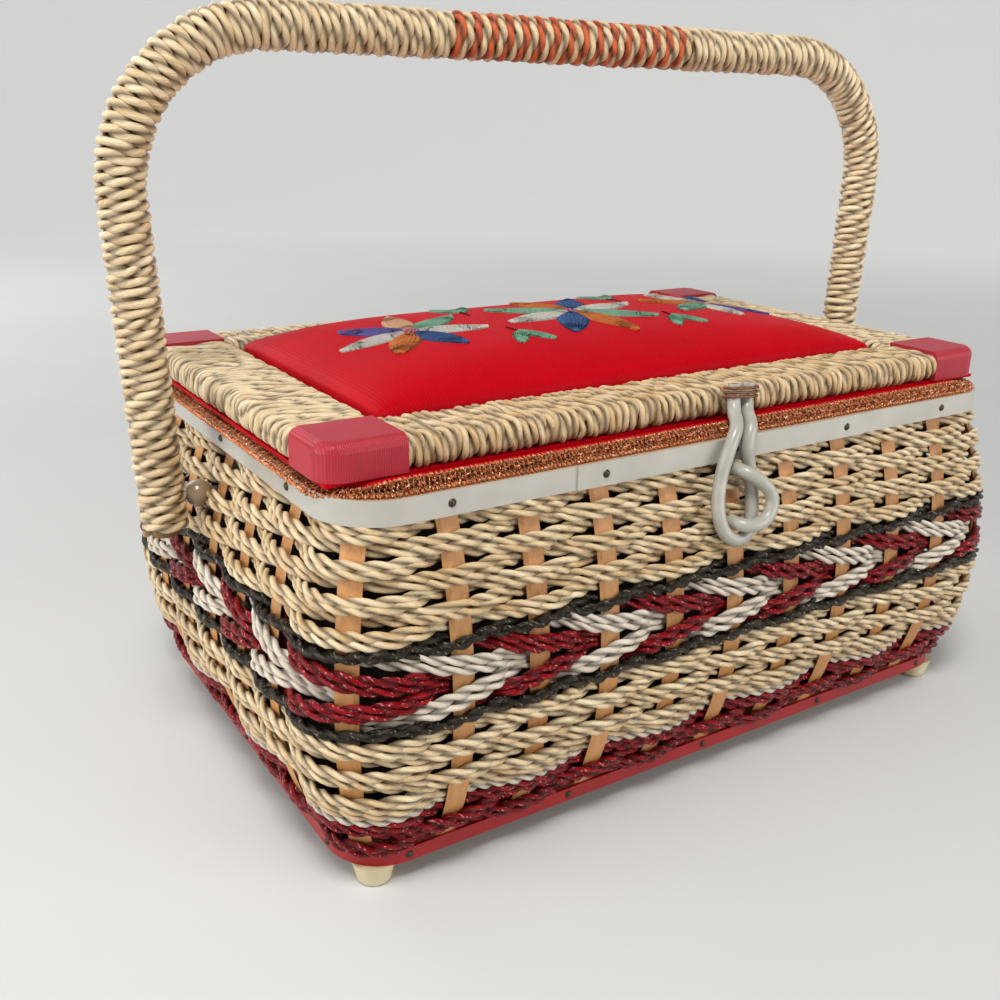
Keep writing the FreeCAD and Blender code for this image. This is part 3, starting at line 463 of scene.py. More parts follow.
# %% The wall's line
straight_x = 256.0
straight_y = 150.0
corner_radius = 17.8
belly_swell = 12.0
belly_height = 62.0
upper_radius = 178.807
lower_radius = 111.143
corner_arc = corner_radius * np.pi / 2
stretches = [straight_x, corner_arc, straight_y, corner_arc] * 2
way_marks = np.concatenate([[0.0], np.cumsum(stretches)])
way_round = way_marks[-1]
headings = np.array([0, 0, 1, 1, 2, 2, 3, 3, 4]) * np.pi / 2
centres_x = np.array([-1, 1, 1, 1, 1, -1, -1, -1, -1]) * straight_x / 2
centres_y = np.array([-1, -1, -1, 1, 1, 1, 1, -1, -1]) * straight_y / 2
stake_marks = np.array([0, 5, 11, 21, 27, 32])
long_side = straight_x + corner_arc
short_side = straight_y + corner_arc
stake_runs = np.cumsum([0, long_side / 2, short_side, long_side, short_side, long_side / 2])
stake_total = 32
flat_up = np.array([0.0, 0.0, 1.0])


def swell(height):
    """How far the wall stands outside its rim line at a height."""
    rise = height - belly_height
    radius = np.where(rise > 0, upper_radius, lower_radius)
    return belly_swell - (radius - np.sqrt(radius**2 - rise**2))


def wall(number, height, stand_off):
    """Places and outward directions at stake numbers and heights, stand_off outside the stakes."""
    turn_over = np.floor_divide(number, stake_total)
    run = np.interp(number - turn_over * stake_total, stake_marks, stake_runs)
    run = np.mod(run + straight_x / 2, way_round)
    heading = np.interp(run, way_marks, headings)
    outward = np.stack([np.sin(heading), -np.cos(heading), np.zeros_like(heading)], axis=-1)
    reach = corner_radius + swell(height) + stand_off
    centre = np.stack([
        np.interp(run, way_marks, centres_x), np.interp(run, way_marks, centres_y), height,
    ], axis=-1)
    return centre + reach[:, None] * outward, outward


def once_round(step):
    """Stake numbers once round the basket, about a step of millimetres apart."""
    return np.arange(0.0, stake_total, stake_total * step / way_round)


def wall_cord(number, height, stand_off, closed):
    """A line on the wall for a twisted cord."""
    places, outward = wall(number, height, stand_off)
    return places, outward, np.broadcast_to(flat_up, places.shape), closed


print("wall: way round", round(float(way_round), 1), "mm")

# %% [markdown]
# ## The plain rows
# A row is a pair of cords that passes in front of one stake and behind the next, and the row
# above it does the opposite. A cosine of the stake's number is such a wave. Real rows are
# beaten down by hand, so each cord also wanders a little in height and lies slightly closer to
# its neighbour where it crosses the wall than where it bulges over a stake.

# %% The plain rows
wave_depth = 2.6
cord_radius = 1.88
cord_twist = 16.0
cord_step = 1.25
row_spread = 1.36
spread_change = 0.14
row_wander_up = 0.25
row_wander_out = 0.15
upper_zone = (91.2, 126.2)
lower_zone = (34.8, 61.0)
red_zone = (13.2, 29.8)
white_height = 32.3
behind = -1


def wander(number, reach):
    """A slow closed wobble round the basket."""
    total = np.zeros_like(number)
    for times in (1, 2, 3, 5, 8, 13):
        total = total + np.sin(2 * np.pi * (number * times / stake_total + luck.random())) / times**0.5
    return total * reach / 2


def plain_row(height, phase):
    """The lower and the upper cord of one row; phase 1 is in front of the even stakes."""
    number = once_round(cord_step)
    wave = phase * np.cos(np.pi * number)
    cords = []
    for side in (-1, 1):
        spread = row_spread * (1 - spread_change + spread_change * wave)
        rise = side * spread + wander(number, row_wander_up)
        stand_off = wave_depth * wave + wander(number, row_wander_out)
        cords.append(wall_cord(number, height + rise, stand_off, True))
    return cords


def rows_between(zone, count):
    """Plain rows that fill a zone; the topmost one is behind the even stakes."""
    bottom, top = zone
    pitch = (top - bottom) / count
    lines = []
    for index in range(count):
        phase = behind * (-1) ** (count - 1 - index)
        lines.append(plain_row(bottom + (index + 0.5) * pitch, phase))
    return lines


upper_rows = rows_between(upper_zone, 7)
lower_rows = rows_between(lower_zone, 5)
red_rows = rows_between(red_zone, 3)
white_row = plain_row(white_height, behind)
print("rows:", len(upper_rows), "upper,", len(lower_rows), "lower,", len(red_rows), "red")


# %% Plain row pieces
def basket_cords(name, lines, cord, node, radius=cord_radius, twist=cord_twist):
    """A piece of one kind of cord on the basket that stands for one woven node."""
    piece = cord_piece(name, lines, radius, twist)
    dress(piece, cord_finishes[cord])
    fit(piece, "basket", cord, node)


lower_cords = sum(lower_rows, []) + white_row[1:]
basket_cords("rows_upper_top", sum(upper_rows[4:], []), "natural_cord", "weave_upper")
basket_cords("rows_upper_low", sum(upper_rows[:4], []), "natural_cord", "weave_upper")
basket_cords("rows_lower", lower_cords, "natural_cord", "weave_lower")
basket_cords("row_white", white_row[:1], "white_cord", "weave_white", radius=1.8, twist=11.0)
basket_cords("rows_red", sum(red_rows, []), "red_cord", "weave_red", radius=1.9, twist=14.0)

# %% [markdown]
# ## The dark rows
# Above and below the arrows lies one row of twining: two dark cords that change places between
# all stakes, so that one of them is in front of every stake. Each is a helix round the wall's
# line that makes half a turn from stake to stake, and the two are half a turn apart.


# %% The dark rows
dark_heights = (63.6, 88.6)
twine_lift = 1.15
twine_wander = 0.2


def twined_row(height):
    """The two cords of one row of twining."""
    number = once_round(cord_step)
    cords = []
    for side in (1, -1):
        rise = side * twine_lift * np.sin(np.pi * number) + wander(number, twine_wander)
        cords.append(wall_cord(number, height + rise, side * wave_depth * np.cos(np.pi * number), True))
    return cords


dark_lines = sum((twined_row(height) for height in dark_heights), [])
basket_cords("rows_dark", dark_lines, "dark_cord", "weave_dark", radius=2.1, twist=14.0)

# %% [markdown]
# ## The arrows
# Between the dark rows, pairs of red and white cord run slanting over one stake and under the
# next, from the edges of the band to its middle, so that they meet in arrow heads that point
# round the basket. One arm starts behind the stake two before its tip, passes in front of the
# next and ends behind the stake at the tip; it slants steeply at first and then runs level, so
# that the two arms lie close along the last span. Red and white tips take turns.

# %% The arrows
arm_spread = 1.55
arm_hold = 1.8
arm_fall = 1.7
arm_wander = 0.12
tip_closing = 0.3
stake_gap = 29.0
upper_arm = (88.2, 77.9)
lower_arm = (64.0, 74.1)


def arrow_arm(tip, edge, middle):
    """The two cords of one arm, which ends behind the stake with the tip's number."""
    share = np.arange(0.0, 1.0001, cord_step / (2 * stake_gap))
    number = tip - 2 + 2 * share
    wave = wave_depth * np.tanh(arm_hold * np.cos(np.pi * (number - tip + 1)))
    height = middle + (edge - middle) * (1 - share) ** arm_fall
    closing = 1 - tip_closing * share**3
    cords = []
    for side in (-1, 1):
        rise = side * arm_spread * closing + luck.normal() * arm_wander
        cords.append(wall_cord(number, height + rise, wave, False))
    return cords


arms = [arrow_arm(tip, *upper_arm) + arrow_arm(tip, *lower_arm) for tip in range(stake_total)]
red_arms = sum(arms[0::2], [])
white_arms = sum(arms[1::2], [])
basket_cords("arrows_red", red_arms, "red_cord", "weave_arrow_red", radius=1.85)
basket_cords("arrows_white", white_arms, "white_cord", "weave_arrow_white", radius=1.9)

# %% [markdown]
# ## The lid's wound bars
# The four bars of the lid are flat boards with round edges, wound close with the same cord. The
# winding is a spiral: it goes round the bar's outline at an even speed while it creeps along the
# bar by a little less than a cord's thickness each turn, so that the turns press together. The
# outline is again a line pushed out by a radius.

# %% The lid's wound bars
bar_middle = 143.3
bar_half = 5.7
bar_edge_radius = 4.2
wrap_radius = 1.85
wrap_pitch = 3.15
wrap_twist = 23.0
wrap_step = 1.2
wrap_tuck = 1.5
lid_half_x = 150.0
lid_front = -86.1
lid_back = 96.9
long_bar_width = 28.0
short_bar_width = 31.0
block_length = 28.0
block_depth = 24.0
wound_section = {"ply_offset": 0.4, "ply_radius": 0.6, "uneven": 0.22}


def bar_winding(start, along, across, length, width):
    """A spiral round a flat bar from start, in millimetres; across points to the bar's other edge."""
    inner = bar_edge_radius - wrap_radius
    flat = width - 2 * bar_edge_radius
    rise = 2 * (bar_half - bar_edge_radius)
    bend = np.pi / 2 * inner
    marks = np.cumsum([0, flat, bend, rise, bend, flat, bend, rise, bend])
    turns = (length + 2 * wrap_tuck) / wrap_pitch
    gone = np.arange(0.0, turns * marks[-1], wrap_step)
    way = np.mod(gone, marks[-1])
    heading = np.interp(way, marks, np.array([0, 0, 1, 1, 2, 2, 3, 3, 4]) * np.pi / 2)
    side = np.interp(way, marks, np.array([-1, 1, 1, 1, 1, -1, -1, -1, -1]) * flat / 2)
    lift = np.interp(way, marks, np.array([1, 1, 1, -1, -1, -1, -1, 1, 1]) * rise / 2)
    outward = np.cos(heading)[:, None] * flat_up + np.sin(heading)[:, None] * across
    creep = wrap_pitch * gone / marks[-1] - wrap_tuck
    places = start + creep[:, None] * along + side[:, None] * across
    places = places + lift[:, None] * flat_up + inner * outward
    return places, outward, np.broadcast_to(along, places.shape), False


right_way = np.array([1.0, 0.0, 0.0])
back_way = np.array([0.0, 1.0, 0.0])
long_start = block_length - lid_half_x
short_start = lid_front + block_depth
long_bar = (right_way, back_way, -2 * long_start, long_bar_width)
short_bar = (back_way, right_way, lid_back - lid_front - 2 * block_depth, short_bar_width)
bars = {
    "front": (long_start, lid_front + long_bar_width / 2, long_bar),
    "back": (long_start, lid_back - long_bar_width / 2, long_bar),
    "left": (short_bar_width / 2 - lid_half_x, short_start, short_bar),
    "right": (lid_half_x - short_bar_width / 2, short_start, short_bar),
}
for side_name, (start_x, start_y, bar) in bars.items():
    spiral = bar_winding(np.array([start_x, start_y, bar_middle]), *bar)
    wound = cord_piece("lid_winding_" + side_name, [spiral], wrap_radius, wrap_twist, **wound_section)
    dress(wound, cord_finishes["natural_cord"])
    fit(wound, "lid", "natural_cord", "lid_wrap_" + side_name)

# %% [markdown]
# ## The wound handle
# The bail is a bent core wound from foot to foot, plain on the legs and in two colours on the
# grip. Its middle line is found by walking: the heading is interpolated along the way, and
# adding up small steps in that heading gives the place. The grip is a double spiral, an orange
# and a pale cord that take turns.

# %% The wound handle
handle_y = 8.0
foot_x = -169.5
foot_z = 96.0
leg_lean = np.arctan(0.0387)
leg_length = 114.4
bend_length = 83.7
top_length = 243.92
handle_marks = np.cumsum([0, leg_length, bend_length, top_length, bend_length, leg_length])
handle_heading = np.repeat([-leg_lean, np.pi / 2, np.pi + leg_lean], 2)
walk_step = 0.25
walked = np.arange(0.0, handle_marks[-1] + walk_step, walk_step)
middle_heading = np.interp(walked + walk_step / 2, handle_marks, handle_heading)
walk_x = foot_x + np.concatenate([[0], np.cumsum(np.sin(middle_heading) * walk_step)[:-1]])
walk_z = foot_z + np.concatenate([[0], np.cumsum(np.cos(middle_heading) * walk_step)[:-1]])
handle_cord_circle = 6.35
handle_cord_radius = 2.15
handle_pitch = 3.4
grip_length = 113.0
grip_pitch = 6.85
handle_section = {"ply_offset": 0.36, "ply_radius": 0.64, "uneven": 0.15}


def handle_winding(begin, end, pitch, start_turn=0.0):
    """A spiral round the handle's middle line between two distances from its left foot."""
    girth = 2 * np.pi * handle_cord_circle
    gone = np.arange(0.0, (end - begin) / pitch * girth, wrap_step)
    turn = 2 * np.pi * (gone / girth + start_turn)
    at = begin + pitch * gone / girth
    heading = np.interp(at, handle_marks, handle_heading)
    zero = np.zeros_like(at)
    along = np.stack([np.sin(heading), zero, np.cos(heading)], axis=-1)
    aside = np.stack([-np.cos(heading), zero, np.sin(heading)], axis=-1)
    middle_x = np.interp(at, walked, walk_x)
    middle_z = np.interp(at, walked, walk_z)
    middle = np.stack([middle_x, zero + handle_y, middle_z], axis=-1)
    outward = np.cos(turn)[:, None] * aside + np.sin(turn)[:, None] * back_way
    return middle + handle_cord_circle * outward, outward, along, False


whole = handle_marks[-1]
grip_start = whole / 2 - grip_length / 2
grip_end = whole / 2 + grip_length / 2
grip_run = (grip_start + handle_pitch / 2, grip_end - handle_pitch / 2, grip_pitch)
wound_parts = {
    "handle_winding_left": ((wrap_radius, grip_start, handle_pitch), "natural_cord",
                            ("handle_wrap_leg_left", "handle_wrap_bend_left")),
    "handle_winding_right": ((grip_end, whole - wrap_radius, handle_pitch), "natural_cord",
                             ("handle_wrap_bend_right", "handle_wrap_leg_right")),
    "grip_winding_pale": (grip_run, "natural_cord", ("grip_wrap_natural",)),
    "grip_winding_orange": ((*grip_run, 0.5), "orange_cord", ("grip_wrap_orange",)),
}
for part_name, (run, cord, replaced) in wound_parts.items():
    wound = cord_piece(part_name, [handle_winding(*run)], handle_cord_radius, cord_twist, **handle_section)
    dress(wound, cord_finishes[cord])
    fit(wound, "handle", cord, *replaced)
print("handle:", round(float(whole), 1), "mm from foot to foot")

# %% [markdown]
# ## The braid and the satin edge under the lid
# A narrow braid of copper glitter thread lies on the rim, and behind it the lining's satin is
# turned over the edge in a soft roll. Five strands that swing from edge to edge, a fifth of a wave
# apart, are a braid. On the front, where the lid stands back, both rise towards the lid. On the
# left both have slipped outwards, the braid over the edge of the rim's strip. Under the lid's
# other sides they lie flat.

# %% The braid and the satin edge
braid_waves = 104
braid_strands = 5
braid_step = 0.75
braid_width = 5.6
braid_inset = 1.6
braid_height = 135.3
braid_rise = 2.6
braid_slip = 2.4
braid_drop = 1.6
roll_step = 1.5
roll_inset = 9.6
roll_height = 135.4
rim_reach = 4.2
side_sharpness = 6
strand_lift = 0.35
strand_lag = 0.8


def rim_line(number, inset, height, front_rise, left_slip, left_drop):
    """A line on the rim at an inset from its outer line; front_rise lifts it along the front, and
    left_slip and left_drop let it slip outwards and down on the left."""
    level = np.full_like(number, belly_height)
    places, outward = wall(number, level, rim_reach - belly_swell - inset)
    front = np.clip(-outward[:, 1], 0, 1) ** side_sharpness
    left = np.clip(-outward[:, 0], 0, 1) ** side_sharpness
    places = places + (left_slip * left)[:, None] * outward
    places[:, 2] = height + front_rise * front - left_drop * left
    return places, outward, np.broadcast_to(flat_up, places.shape), True


def braid_strand(index):
    """One strand of the braid, which swings between its two edges."""
    number = once_round(braid_step)
    turn = 2 * np.pi * (number / stake_total * braid_waves + index / braid_strands)
    swing = (1 + np.sin(turn)) / 2
    inset = braid_inset + braid_width * swing
    height = braid_height + strand_lift * np.sin(2 * turn + strand_lag)
    return rim_line(number, inset, height, braid_rise * swing, braid_slip, braid_drop * (1 - swing))


def satin_roll():
    """The turned edge of the lining, a low soft roll that wavers a little."""
    number = once_round(roll_step)
    height = roll_height + wander(number, 0.15)
    inset = roll_inset + wander(number, 0.5)
    return rim_line(number, inset, height, front_rise=1.4, left_slip=4.2, left_drop=-0.4)


strands = [braid_strand(index) for index in range(braid_strands)]
braid = cord_piece("rim_braid", strands, radius=0.85, twist=3.4, sides=8)
edge_roll = cord_piece("rim_satin_edge", [satin_roll()], radius=1.2, twist=400.0,
                       ply_offset=0.05, ply_radius=0.95)
fit(braid, "basket", "gimp", "gimp_braid")
fit(edge_roll, "basket", "satin")

# %% [markdown]
# ## Copper glitter
# The braid's thread is copper-coloured, and tiny flakes of foil in it catch the light. A Voronoi
# texture gives each flake a level of its own: only the highest levels turn metallic and pale.

# %% Glitter finish
glitter = Finish("gimp")
sparkle = glitter.node("ShaderNodeTexVoronoi", {}, {"Vector": glitter.place(), "Scale": 1500.0}, "Color")
grain = glitter.noise(glitter.place(), 420.0)
glitter_colour = glitter.mix(grain, tint(178, 66, 28), tint(244, 156, 92))
sparkle_level = glitter.node("ShaderNodeSeparateColor", {}, {"Color": sparkle}, 0)
glitter_material = glitter.paint({
    "Base Color": glitter.mix(sparkle_level**6.0, glitter_colour, tint(255, 214, 176)),
    "Roughness": 0.5 - sparkle_level * 0.3,
    "Metallic": sparkle_level**3.0 * 0.7,
    "Normal": glitter.bump(sparkle_level, 0.0005, 0.8),
})
dress(braid, glitter_material)
print("finish:", glitter_material.name)

# %% [markdown]
# ## The padded lid
# The pad is red satin over stuffing, held down by the four bars. A grid with a crown is the
# start, a little lower than the finished pad. Then the cloth is blown up: Blender's Cloth with
# pressure and no gravity swells the free top while the sides and the underside are held, and the
# swelling is capped at a few millimetres. The swollen shape is written back into the mesh, which is
# then smoothed and subdivided.

# %% The pad's start
pad_half_x = 118.0
pad_half_y = 62.6
pad_middle_y = 5.4
pad_bottom = 141.2
pad_edge = 149.4
pad_crown = 10.0
pad_columns = 60
pad_rows = 34
crown_power = 6
held_drop = 1.0
held_border = 2.0


def bunched(count):
    """Numbers from -1 to 1 that lie closer together at both ends."""
    even = np.linspace(-1, 1, count + 1)
    bent = np.sin(even * np.pi / 2 * 0.98) / np.sin(np.pi / 2 * 0.98)
    return 0.5 * bent + 0.5 * even


def pad_start():
    """A closed crowned box of quads."""
    across, deep = np.meshgrid(bunched(pad_columns), bunched(pad_rows))
    top = pad_edge + pad_crown * (1 - across**crown_power) * (1 - deep**crown_power)
    upper = np.stack([across * pad_half_x, pad_middle_y + deep * pad_half_y, top], axis=-1)
    upper = upper.reshape(-1, 3)
    lower = upper.copy()
    lower[:, 2] = pad_bottom
    index = np.arange(len(upper)).reshape(pad_rows + 1, pad_columns + 1)
    quads = np.stack([index[:-1, :-1], index[:-1, 1:], index[1:, 1:], index[1:, :-1]], -1)
    quads = quads.reshape(-1, 4)
    under = quads[:, ::-1] + len(upper)
    rim = np.concatenate([index[0, :-1], index[:-1, -1], index[-1, :0:-1], index[:0:-1, 0]])
    after = np.roll(rim, -1)
    sides = np.stack([rim, rim + len(upper), after + len(upper), after], -1)[:, ::-1]
    faces = np.concatenate([quads, under, sides]).tolist()
    mesh = bpy.data.meshes.new("lid_pad_satin")
    mesh.from_pydata(np.concatenate([upper, lower]) * mm, [], faces)
    mesh.update()
    return mesh


pad = add_object("lid_pad_satin", pad_start())
print("pad: start of", len(pad.data.polygons), "faces")


# %% Swelling the pad
def swell_cloth(piece, voxel, pressure, frames, cap):
    """Blows a closed mesh up as cloth and keeps the result, no point moved further than cap."""
    bpy.context.view_layer.objects.active = piece
    piece.data.remesh_voxel_size = voxel * mm
    bpy.ops.object.voxel_remesh()
    start = np.empty(len(piece.data.vertices) * 3, np.float32)
    piece.data.vertices.foreach_get("co", start)
    start = start.reshape(-1, 3)
    free = start[:, 2] > (pad_edge - held_drop) * mm
    inset = np.minimum(pad_half_x * mm - np.abs(start[:, 0]),
                       pad_half_y * mm - np.abs(start[:, 1] - pad_middle_y * mm))
    held = piece.vertex_groups.new(name="held")
    for index in np.flatnonzero(~free | (inset < held_border * mm)):
        held.add([int(index)], 1.0, "REPLACE")
    cloth = piece.modifiers.new("swell", "CLOTH")
    cloth.settings.use_pressure = True
    cloth.settings.uniform_pressure_force = pressure
    cloth.settings.vertex_group_mass = "held"
    cloth.settings.effector_weights.gravity = 0.0
    for number in range(1, frames + 1):
        bpy.context.scene.frame_set(number)
    swollen = piece.evaluated_get(bpy.context.evaluated_depsgraph_get())
    end = np.empty(len(start) * 3, np.float32)
    swollen.data.vertices.foreach_get("co", end)
    move = end.reshape(-1, 3) - start
    length = np.linalg.norm(move, axis=1)
    move = move * np.minimum(1.0, cap * mm / np.maximum(length, 1e-9))[:, None]
    piece.modifiers.remove(cloth)
    piece.data.vertices.foreach_set("co", (start + move).ravel())
    piece.data.update()
    bpy.context.scene.frame_set(1)
    return float(length.max() / mm)


furthest = swell_cloth(pad, voxel=4.0, pressure=4.0, frames=20, cap=2.4)
print("pad: cloth moved up to", round(furthest, 2), "mm before the cap")
smoothing = pad.modifiers.new("smooth", "SMOOTH")
smoothing.factor = 0.5
smoothing.iterations = 6
rounding = pad.modifiers.new("rounding", "SUBSURF")
rounding.levels = 1
rounding.render_levels = 1
pad.data.polygons.foreach_set("use_smooth", np.ones(len(pad.data.polygons), bool))
fit(pad, "lid", "pad_satin", "lid_pad")

# %% [markdown]
# ## Satin
# Satin is woven so that long threads lie on top, which gives it a soft sheen and a fine rib. Here
# the ribs run from front to back, so they are a wave along the lid's length, and thicker threads
# are a noise stretched the same way. A plain gloss turns white where it is seen at a flat angle;
# a low gloss and a red sheen keep the cloth red there.


# %% Satin finish
def satin_finish(name, deep, bright, rib_scale, roughness):
    """Ribbed satin between two reds."""
    finish = Finish(name)
    place = finish.place()
    rib = finish.node("ShaderNodeTexWave", {"wave_type": "BANDS", "bands_direction": "X"},
                      {"Vector": place, "Scale": rib_scale, "Distortion": 0.6, "Detail": 1.0}, "Fac")
    cloud = finish.noise(finish.stretch(place, (1.0, 1.0, 3.0)), 24.0)
    slubs = finish.noise(finish.stretch(place, (900.0, 40.0, 40.0)), 1.0, 2.0)
    colour = finish.mix(cloud * 0.5 + slubs * 0.5, deep, bright)
    return finish.paint({
        "Base Color": colour,
        "Roughness": slubs * 0.15 + roughness,
        "Normal": finish.bump(rib * 0.5 + slubs * 0.5, 0.00025, 0.6),
        "Specular IOR Level": 0.05,
        "Sheen Weight": 0.2,
        "Sheen Roughness": 0.4,
        "Sheen Tint": tint(255, 30, 60),
    })


pad_material = satin_finish("pad_satin", tint(148, 0, 10), tint(198, 1, 22), 230.0, 0.4)
for satin_piece in (pad, edge_roll):
    dress(satin_piece, pad_material)
print("finish:", pad_material.name)

# %% [markdown]
# ## The lining
# Inside, the basket is lined with card covered in the same satin. The side that faces the weave
# is bare card, and it is what shows between the cords, so it is painted almost black: painted shade
# between the cords. One finish does both sides: a point further out than the middle of the card gets that
# painted shade.

# %% Lining finish
card_half_x = 0.1390
card_half_y = 0.0860
card_corner = 0.2087
lining = Finish("satin")
lining_place = lining.place()


def distance_out(axis):
    """How far a point of the lining lies from the basket's middle along an axis."""
    along_axis = lining.node("ShaderNodeSeparateXYZ", {}, {"Vector": lining_place}, axis)
    return lining.node("ShaderNodeMath", {"operation": "ABSOLUTE"}, {0: along_axis})


def further_than(distance, limit):
    """1 past the limit and 0 before it."""
    return lining.node("ShaderNodeMath", {"operation": "GREATER_THAN"}, {0: distance, 1: limit})


out_x = distance_out("X")
out_y = distance_out("Y")
past_sides = further_than(out_x, card_half_x) + further_than(out_y, card_half_y)
is_card = lining.within(past_sides + further_than(out_x + out_y, card_corner))
lining_cloud = lining.noise(lining_place, 60.0)
lining_threads = lining.noise(lining.stretch(lining_place, (700.0, 700.0, 50.0)), 1.0, 2.0)
satin_colour = lining.mix(lining_cloud * 0.6 + lining_threads * 0.4, tint(126, 2, 12), tint(172, 8, 24))
# The weave side of the card is painted almost black: painted shade that shows between the cords.
card_shade_colour = lining.mix(lining_cloud, tint(26, 14, 12), tint(44, 24, 20))
lining_material = lining.paint({
    "Base Color": lining.mix(is_card, satin_colour, card_shade_colour),
    "Roughness": is_card * 0.4 + lining_threads * 0.15 + 0.35,
    "Normal": lining.bump(lining_threads, 0.0002, 0.4),
})
for part_name in ("floor", "front", "back", "left", "right", "corners"):
    dress(nodes["liner_" + part_name], lining_material)
print("finish:", lining_material.name)

# %% [markdown]
# ## The stakes
# The upright stakes are split willow. The frame's stakes are plain strips; a split one is a little
# wider and crowned, thickest in its middle, and no two have the same shade. Each is a loft of
# six-sided sections that follow the wall from the base board to the rim, where it is straight.

# %% The stakes
stake_half = 3.9
stake_bottom = 12.4
stake_bend = 126.4
stake_top = 134.2
stake_steps = 22
section_aside = np.array([-1.0, -0.55, 0.55, 1.0, 0.6, -0.6]) * stake_half
section_out = np.array([0.1, 0.6, 0.6, 0.1, -0.55, -0.55])


def stake_piece(name, numbers, replaced):
    """Crowned splints at these stake numbers."""
    heights = np.append(np.linspace(stake_bottom, stake_bend, stake_steps), stake_top)
    sides = len(section_out)
    points, faces, shades = [], [], []
    for stake_number in numbers:
        first = len(points) * len(heights) * sides
        level = np.minimum(heights, stake_bend)
        places, outward = wall(np.full_like(heights, stake_number), level, np.zeros_like(heights))
        places[:, 2] = heights
        aside = np.stack([-outward[:, 1], outward[:, 0], outward[:, 2]], axis=-1)
        across = section_aside[None, :, None] * aside[:, None, :]
        deep = section_out[None, :, None] * outward[:, None, :]
        points.append((places[:, None, :] + across + deep).reshape(-1, 3))
        shades.append(np.full(len(heights) * sides, luck.random()))
        for row in range(len(heights) - 1):
            low = first + row * sides
            for corner in range(sides):
                beside = (corner + 1) % sides
                faces.append((low + corner, low + sides + corner, low + sides + beside, low + beside))
        faces.append(tuple(first + np.arange(sides)))
        faces.append(tuple(first + (len(heights) - 1) * sides + np.arange(sides)[::-1]))
    mesh = bpy.data.meshes.new(name)
    mesh.from_pydata(np.concatenate(points) * mm, [], faces)
    mesh.attributes.new("shade", "FLOAT", "POINT").data.foreach_set("value", np.concatenate(shades))
    piece = add_object(name, mesh)
    fit(piece, "basket", "splint", replaced)
    print("stakes:", name, len(numbers))
    return piece


stake_sides = {
    "front": [*range(28, 32), *range(5)], "right": range(6, 11), "back": range(12, 21),
    "left": range(22, 27), "corners": (5, 11, 21, 27),
}
stake_pieces = []
for side_name, numbers in stake_sides.items():
    stake_pieces.append(stake_piece("splints_" + side_name, numbers, "stakes_" + side_name))

# %% [markdown]
# ## Wood, board and film
# The stakes are orange-brown, with grain along their length. The hoops and the boards are plain
# wood. The cores under the windings get a darker straw-brown wood finish, painted shade for the gaps
# between the turns, and the lid's lining board is covered in the pad's satin. The strip round the
# rim is pearly film: smooth, with a faint cloud and a coat. Grain is a noise that is stretched
# along the wood, and a cloud is one that isn't stretched.


# %% Wood finishes
def wood_finish(name, pale, deep, grain_stretch, roughness):
    """Wood in two shades, with its grain stretched by three numbers."""
    finish = Finish(name)
    place = finish.stretch(finish.place(), grain_stretch)
    grain = finish.noise(place, 1.0, 5.0)
    flecks = finish.noise(place, 4.0, 2.0)
    shade = finish.node("ShaderNodeAttribute", {"attribute_name": "shade"}, {}, "Fac")
    colour = finish.mix(grain * 0.5 + flecks * 0.3 + shade * 0.3, deep, pale)
    return finish.paint({
        "Base Color": colour,
        "Roughness": flecks * 0.2 + roughness,
        "Normal": finish.bump(grain * 0.6 + flecks * 0.4, 0.0004, 0.5),
    })


splint = wood_finish("splint", tint(222, 164, 102), tint(160, 100, 50), (900.0, 900.0, 60.0), 0.4)
hoop_wood = wood_finish("hoop_wood", tint(206, 166, 112), tint(160, 116, 68), (90.0, 90.0, 900.0), 0.5)
board = wood_finish("board", tint(176, 138, 92), tint(128, 92, 56), (70.0, 700.0, 700.0), 0.6)
# The cores' darker straw brown is painted shade that shows in the gaps between the turns.
core = wood_finish("under_winding_shade", tint(150, 118, 74), tint(104, 78, 46), (300.0, 300.0, 300.0), 0.6)
for stakes in stake_pieces:
    dress(stakes, splint)
wooden_nodes = {
    "rim_hoop_outer": hoop_wood, "rim_hoop_inner": hoop_wood, "base_board": board, "pad_board": board,
    "handle_core": core, "lid_bar_front": core, "lid_bar_back": core, "lid_bar_left": core,
    "lid_bar_right": core, "lid_lining": pad_material,
}
for part_name, material in wooden_nodes.items():
    dress(nodes[part_name], material)
print("finish: wood on stakes, hoops and boards")


# %% Film, plastic and metal finishes
def smooth_finish(name, pale, deep, scale, roughness, metallic=0.0, coat=0.0):
    """A smooth surface with a faint cloud of two shades."""
    finish = Finish(name)
    cloud = finish.noise(finish.place(), scale)
    fine = finish.noise(finish.place(), scale * 9)
    return finish.paint({
        "Base Color": finish.mix(cloud, deep, pale),
        "Roughness": fine * 0.15 + roughness,
        "Metallic": metallic,
        "Normal": finish.bump(fine, 0.0002, 0.15),
        "Coat Weight": coat,
        "Coat Roughness": 0.1,
    })


pearl = smooth_finish("pearl_strip", tint(196, 192, 181), tint(166, 161, 150), 60.0, 0.25, coat=0.4)
red_plastic = smooth_finish("red_plastic", tint(176, 2, 10), tint(136, 0, 6), 40.0, 0.3)
cream_plastic = smooth_finish("cream_plastic", tint(226, 214, 178), tint(196, 182, 140), 90.0, 0.35)
tack_metal = smooth_finish("tack_metal", tint(92, 80, 66), tint(52, 42, 34), 300.0, 0.35, 0.8)
steel = smooth_finish("steel", tint(168, 166, 162), tint(120, 118, 114), 200.0, 0.3, 0.9)
brass = smooth_finish("hinge_brass", tint(206, 170, 96), tint(160, 124, 60), 200.0, 0.3, 0.9)
bead_finish = smooth_finish("bead", tint(166, 142, 112), tint(122, 100, 74), 220.0, 0.15, coat=0.6)
tie_wire = smooth_finish("tie_wire", tint(150, 96, 58), tint(92, 56, 32), 300.0, 0.35, 0.6)
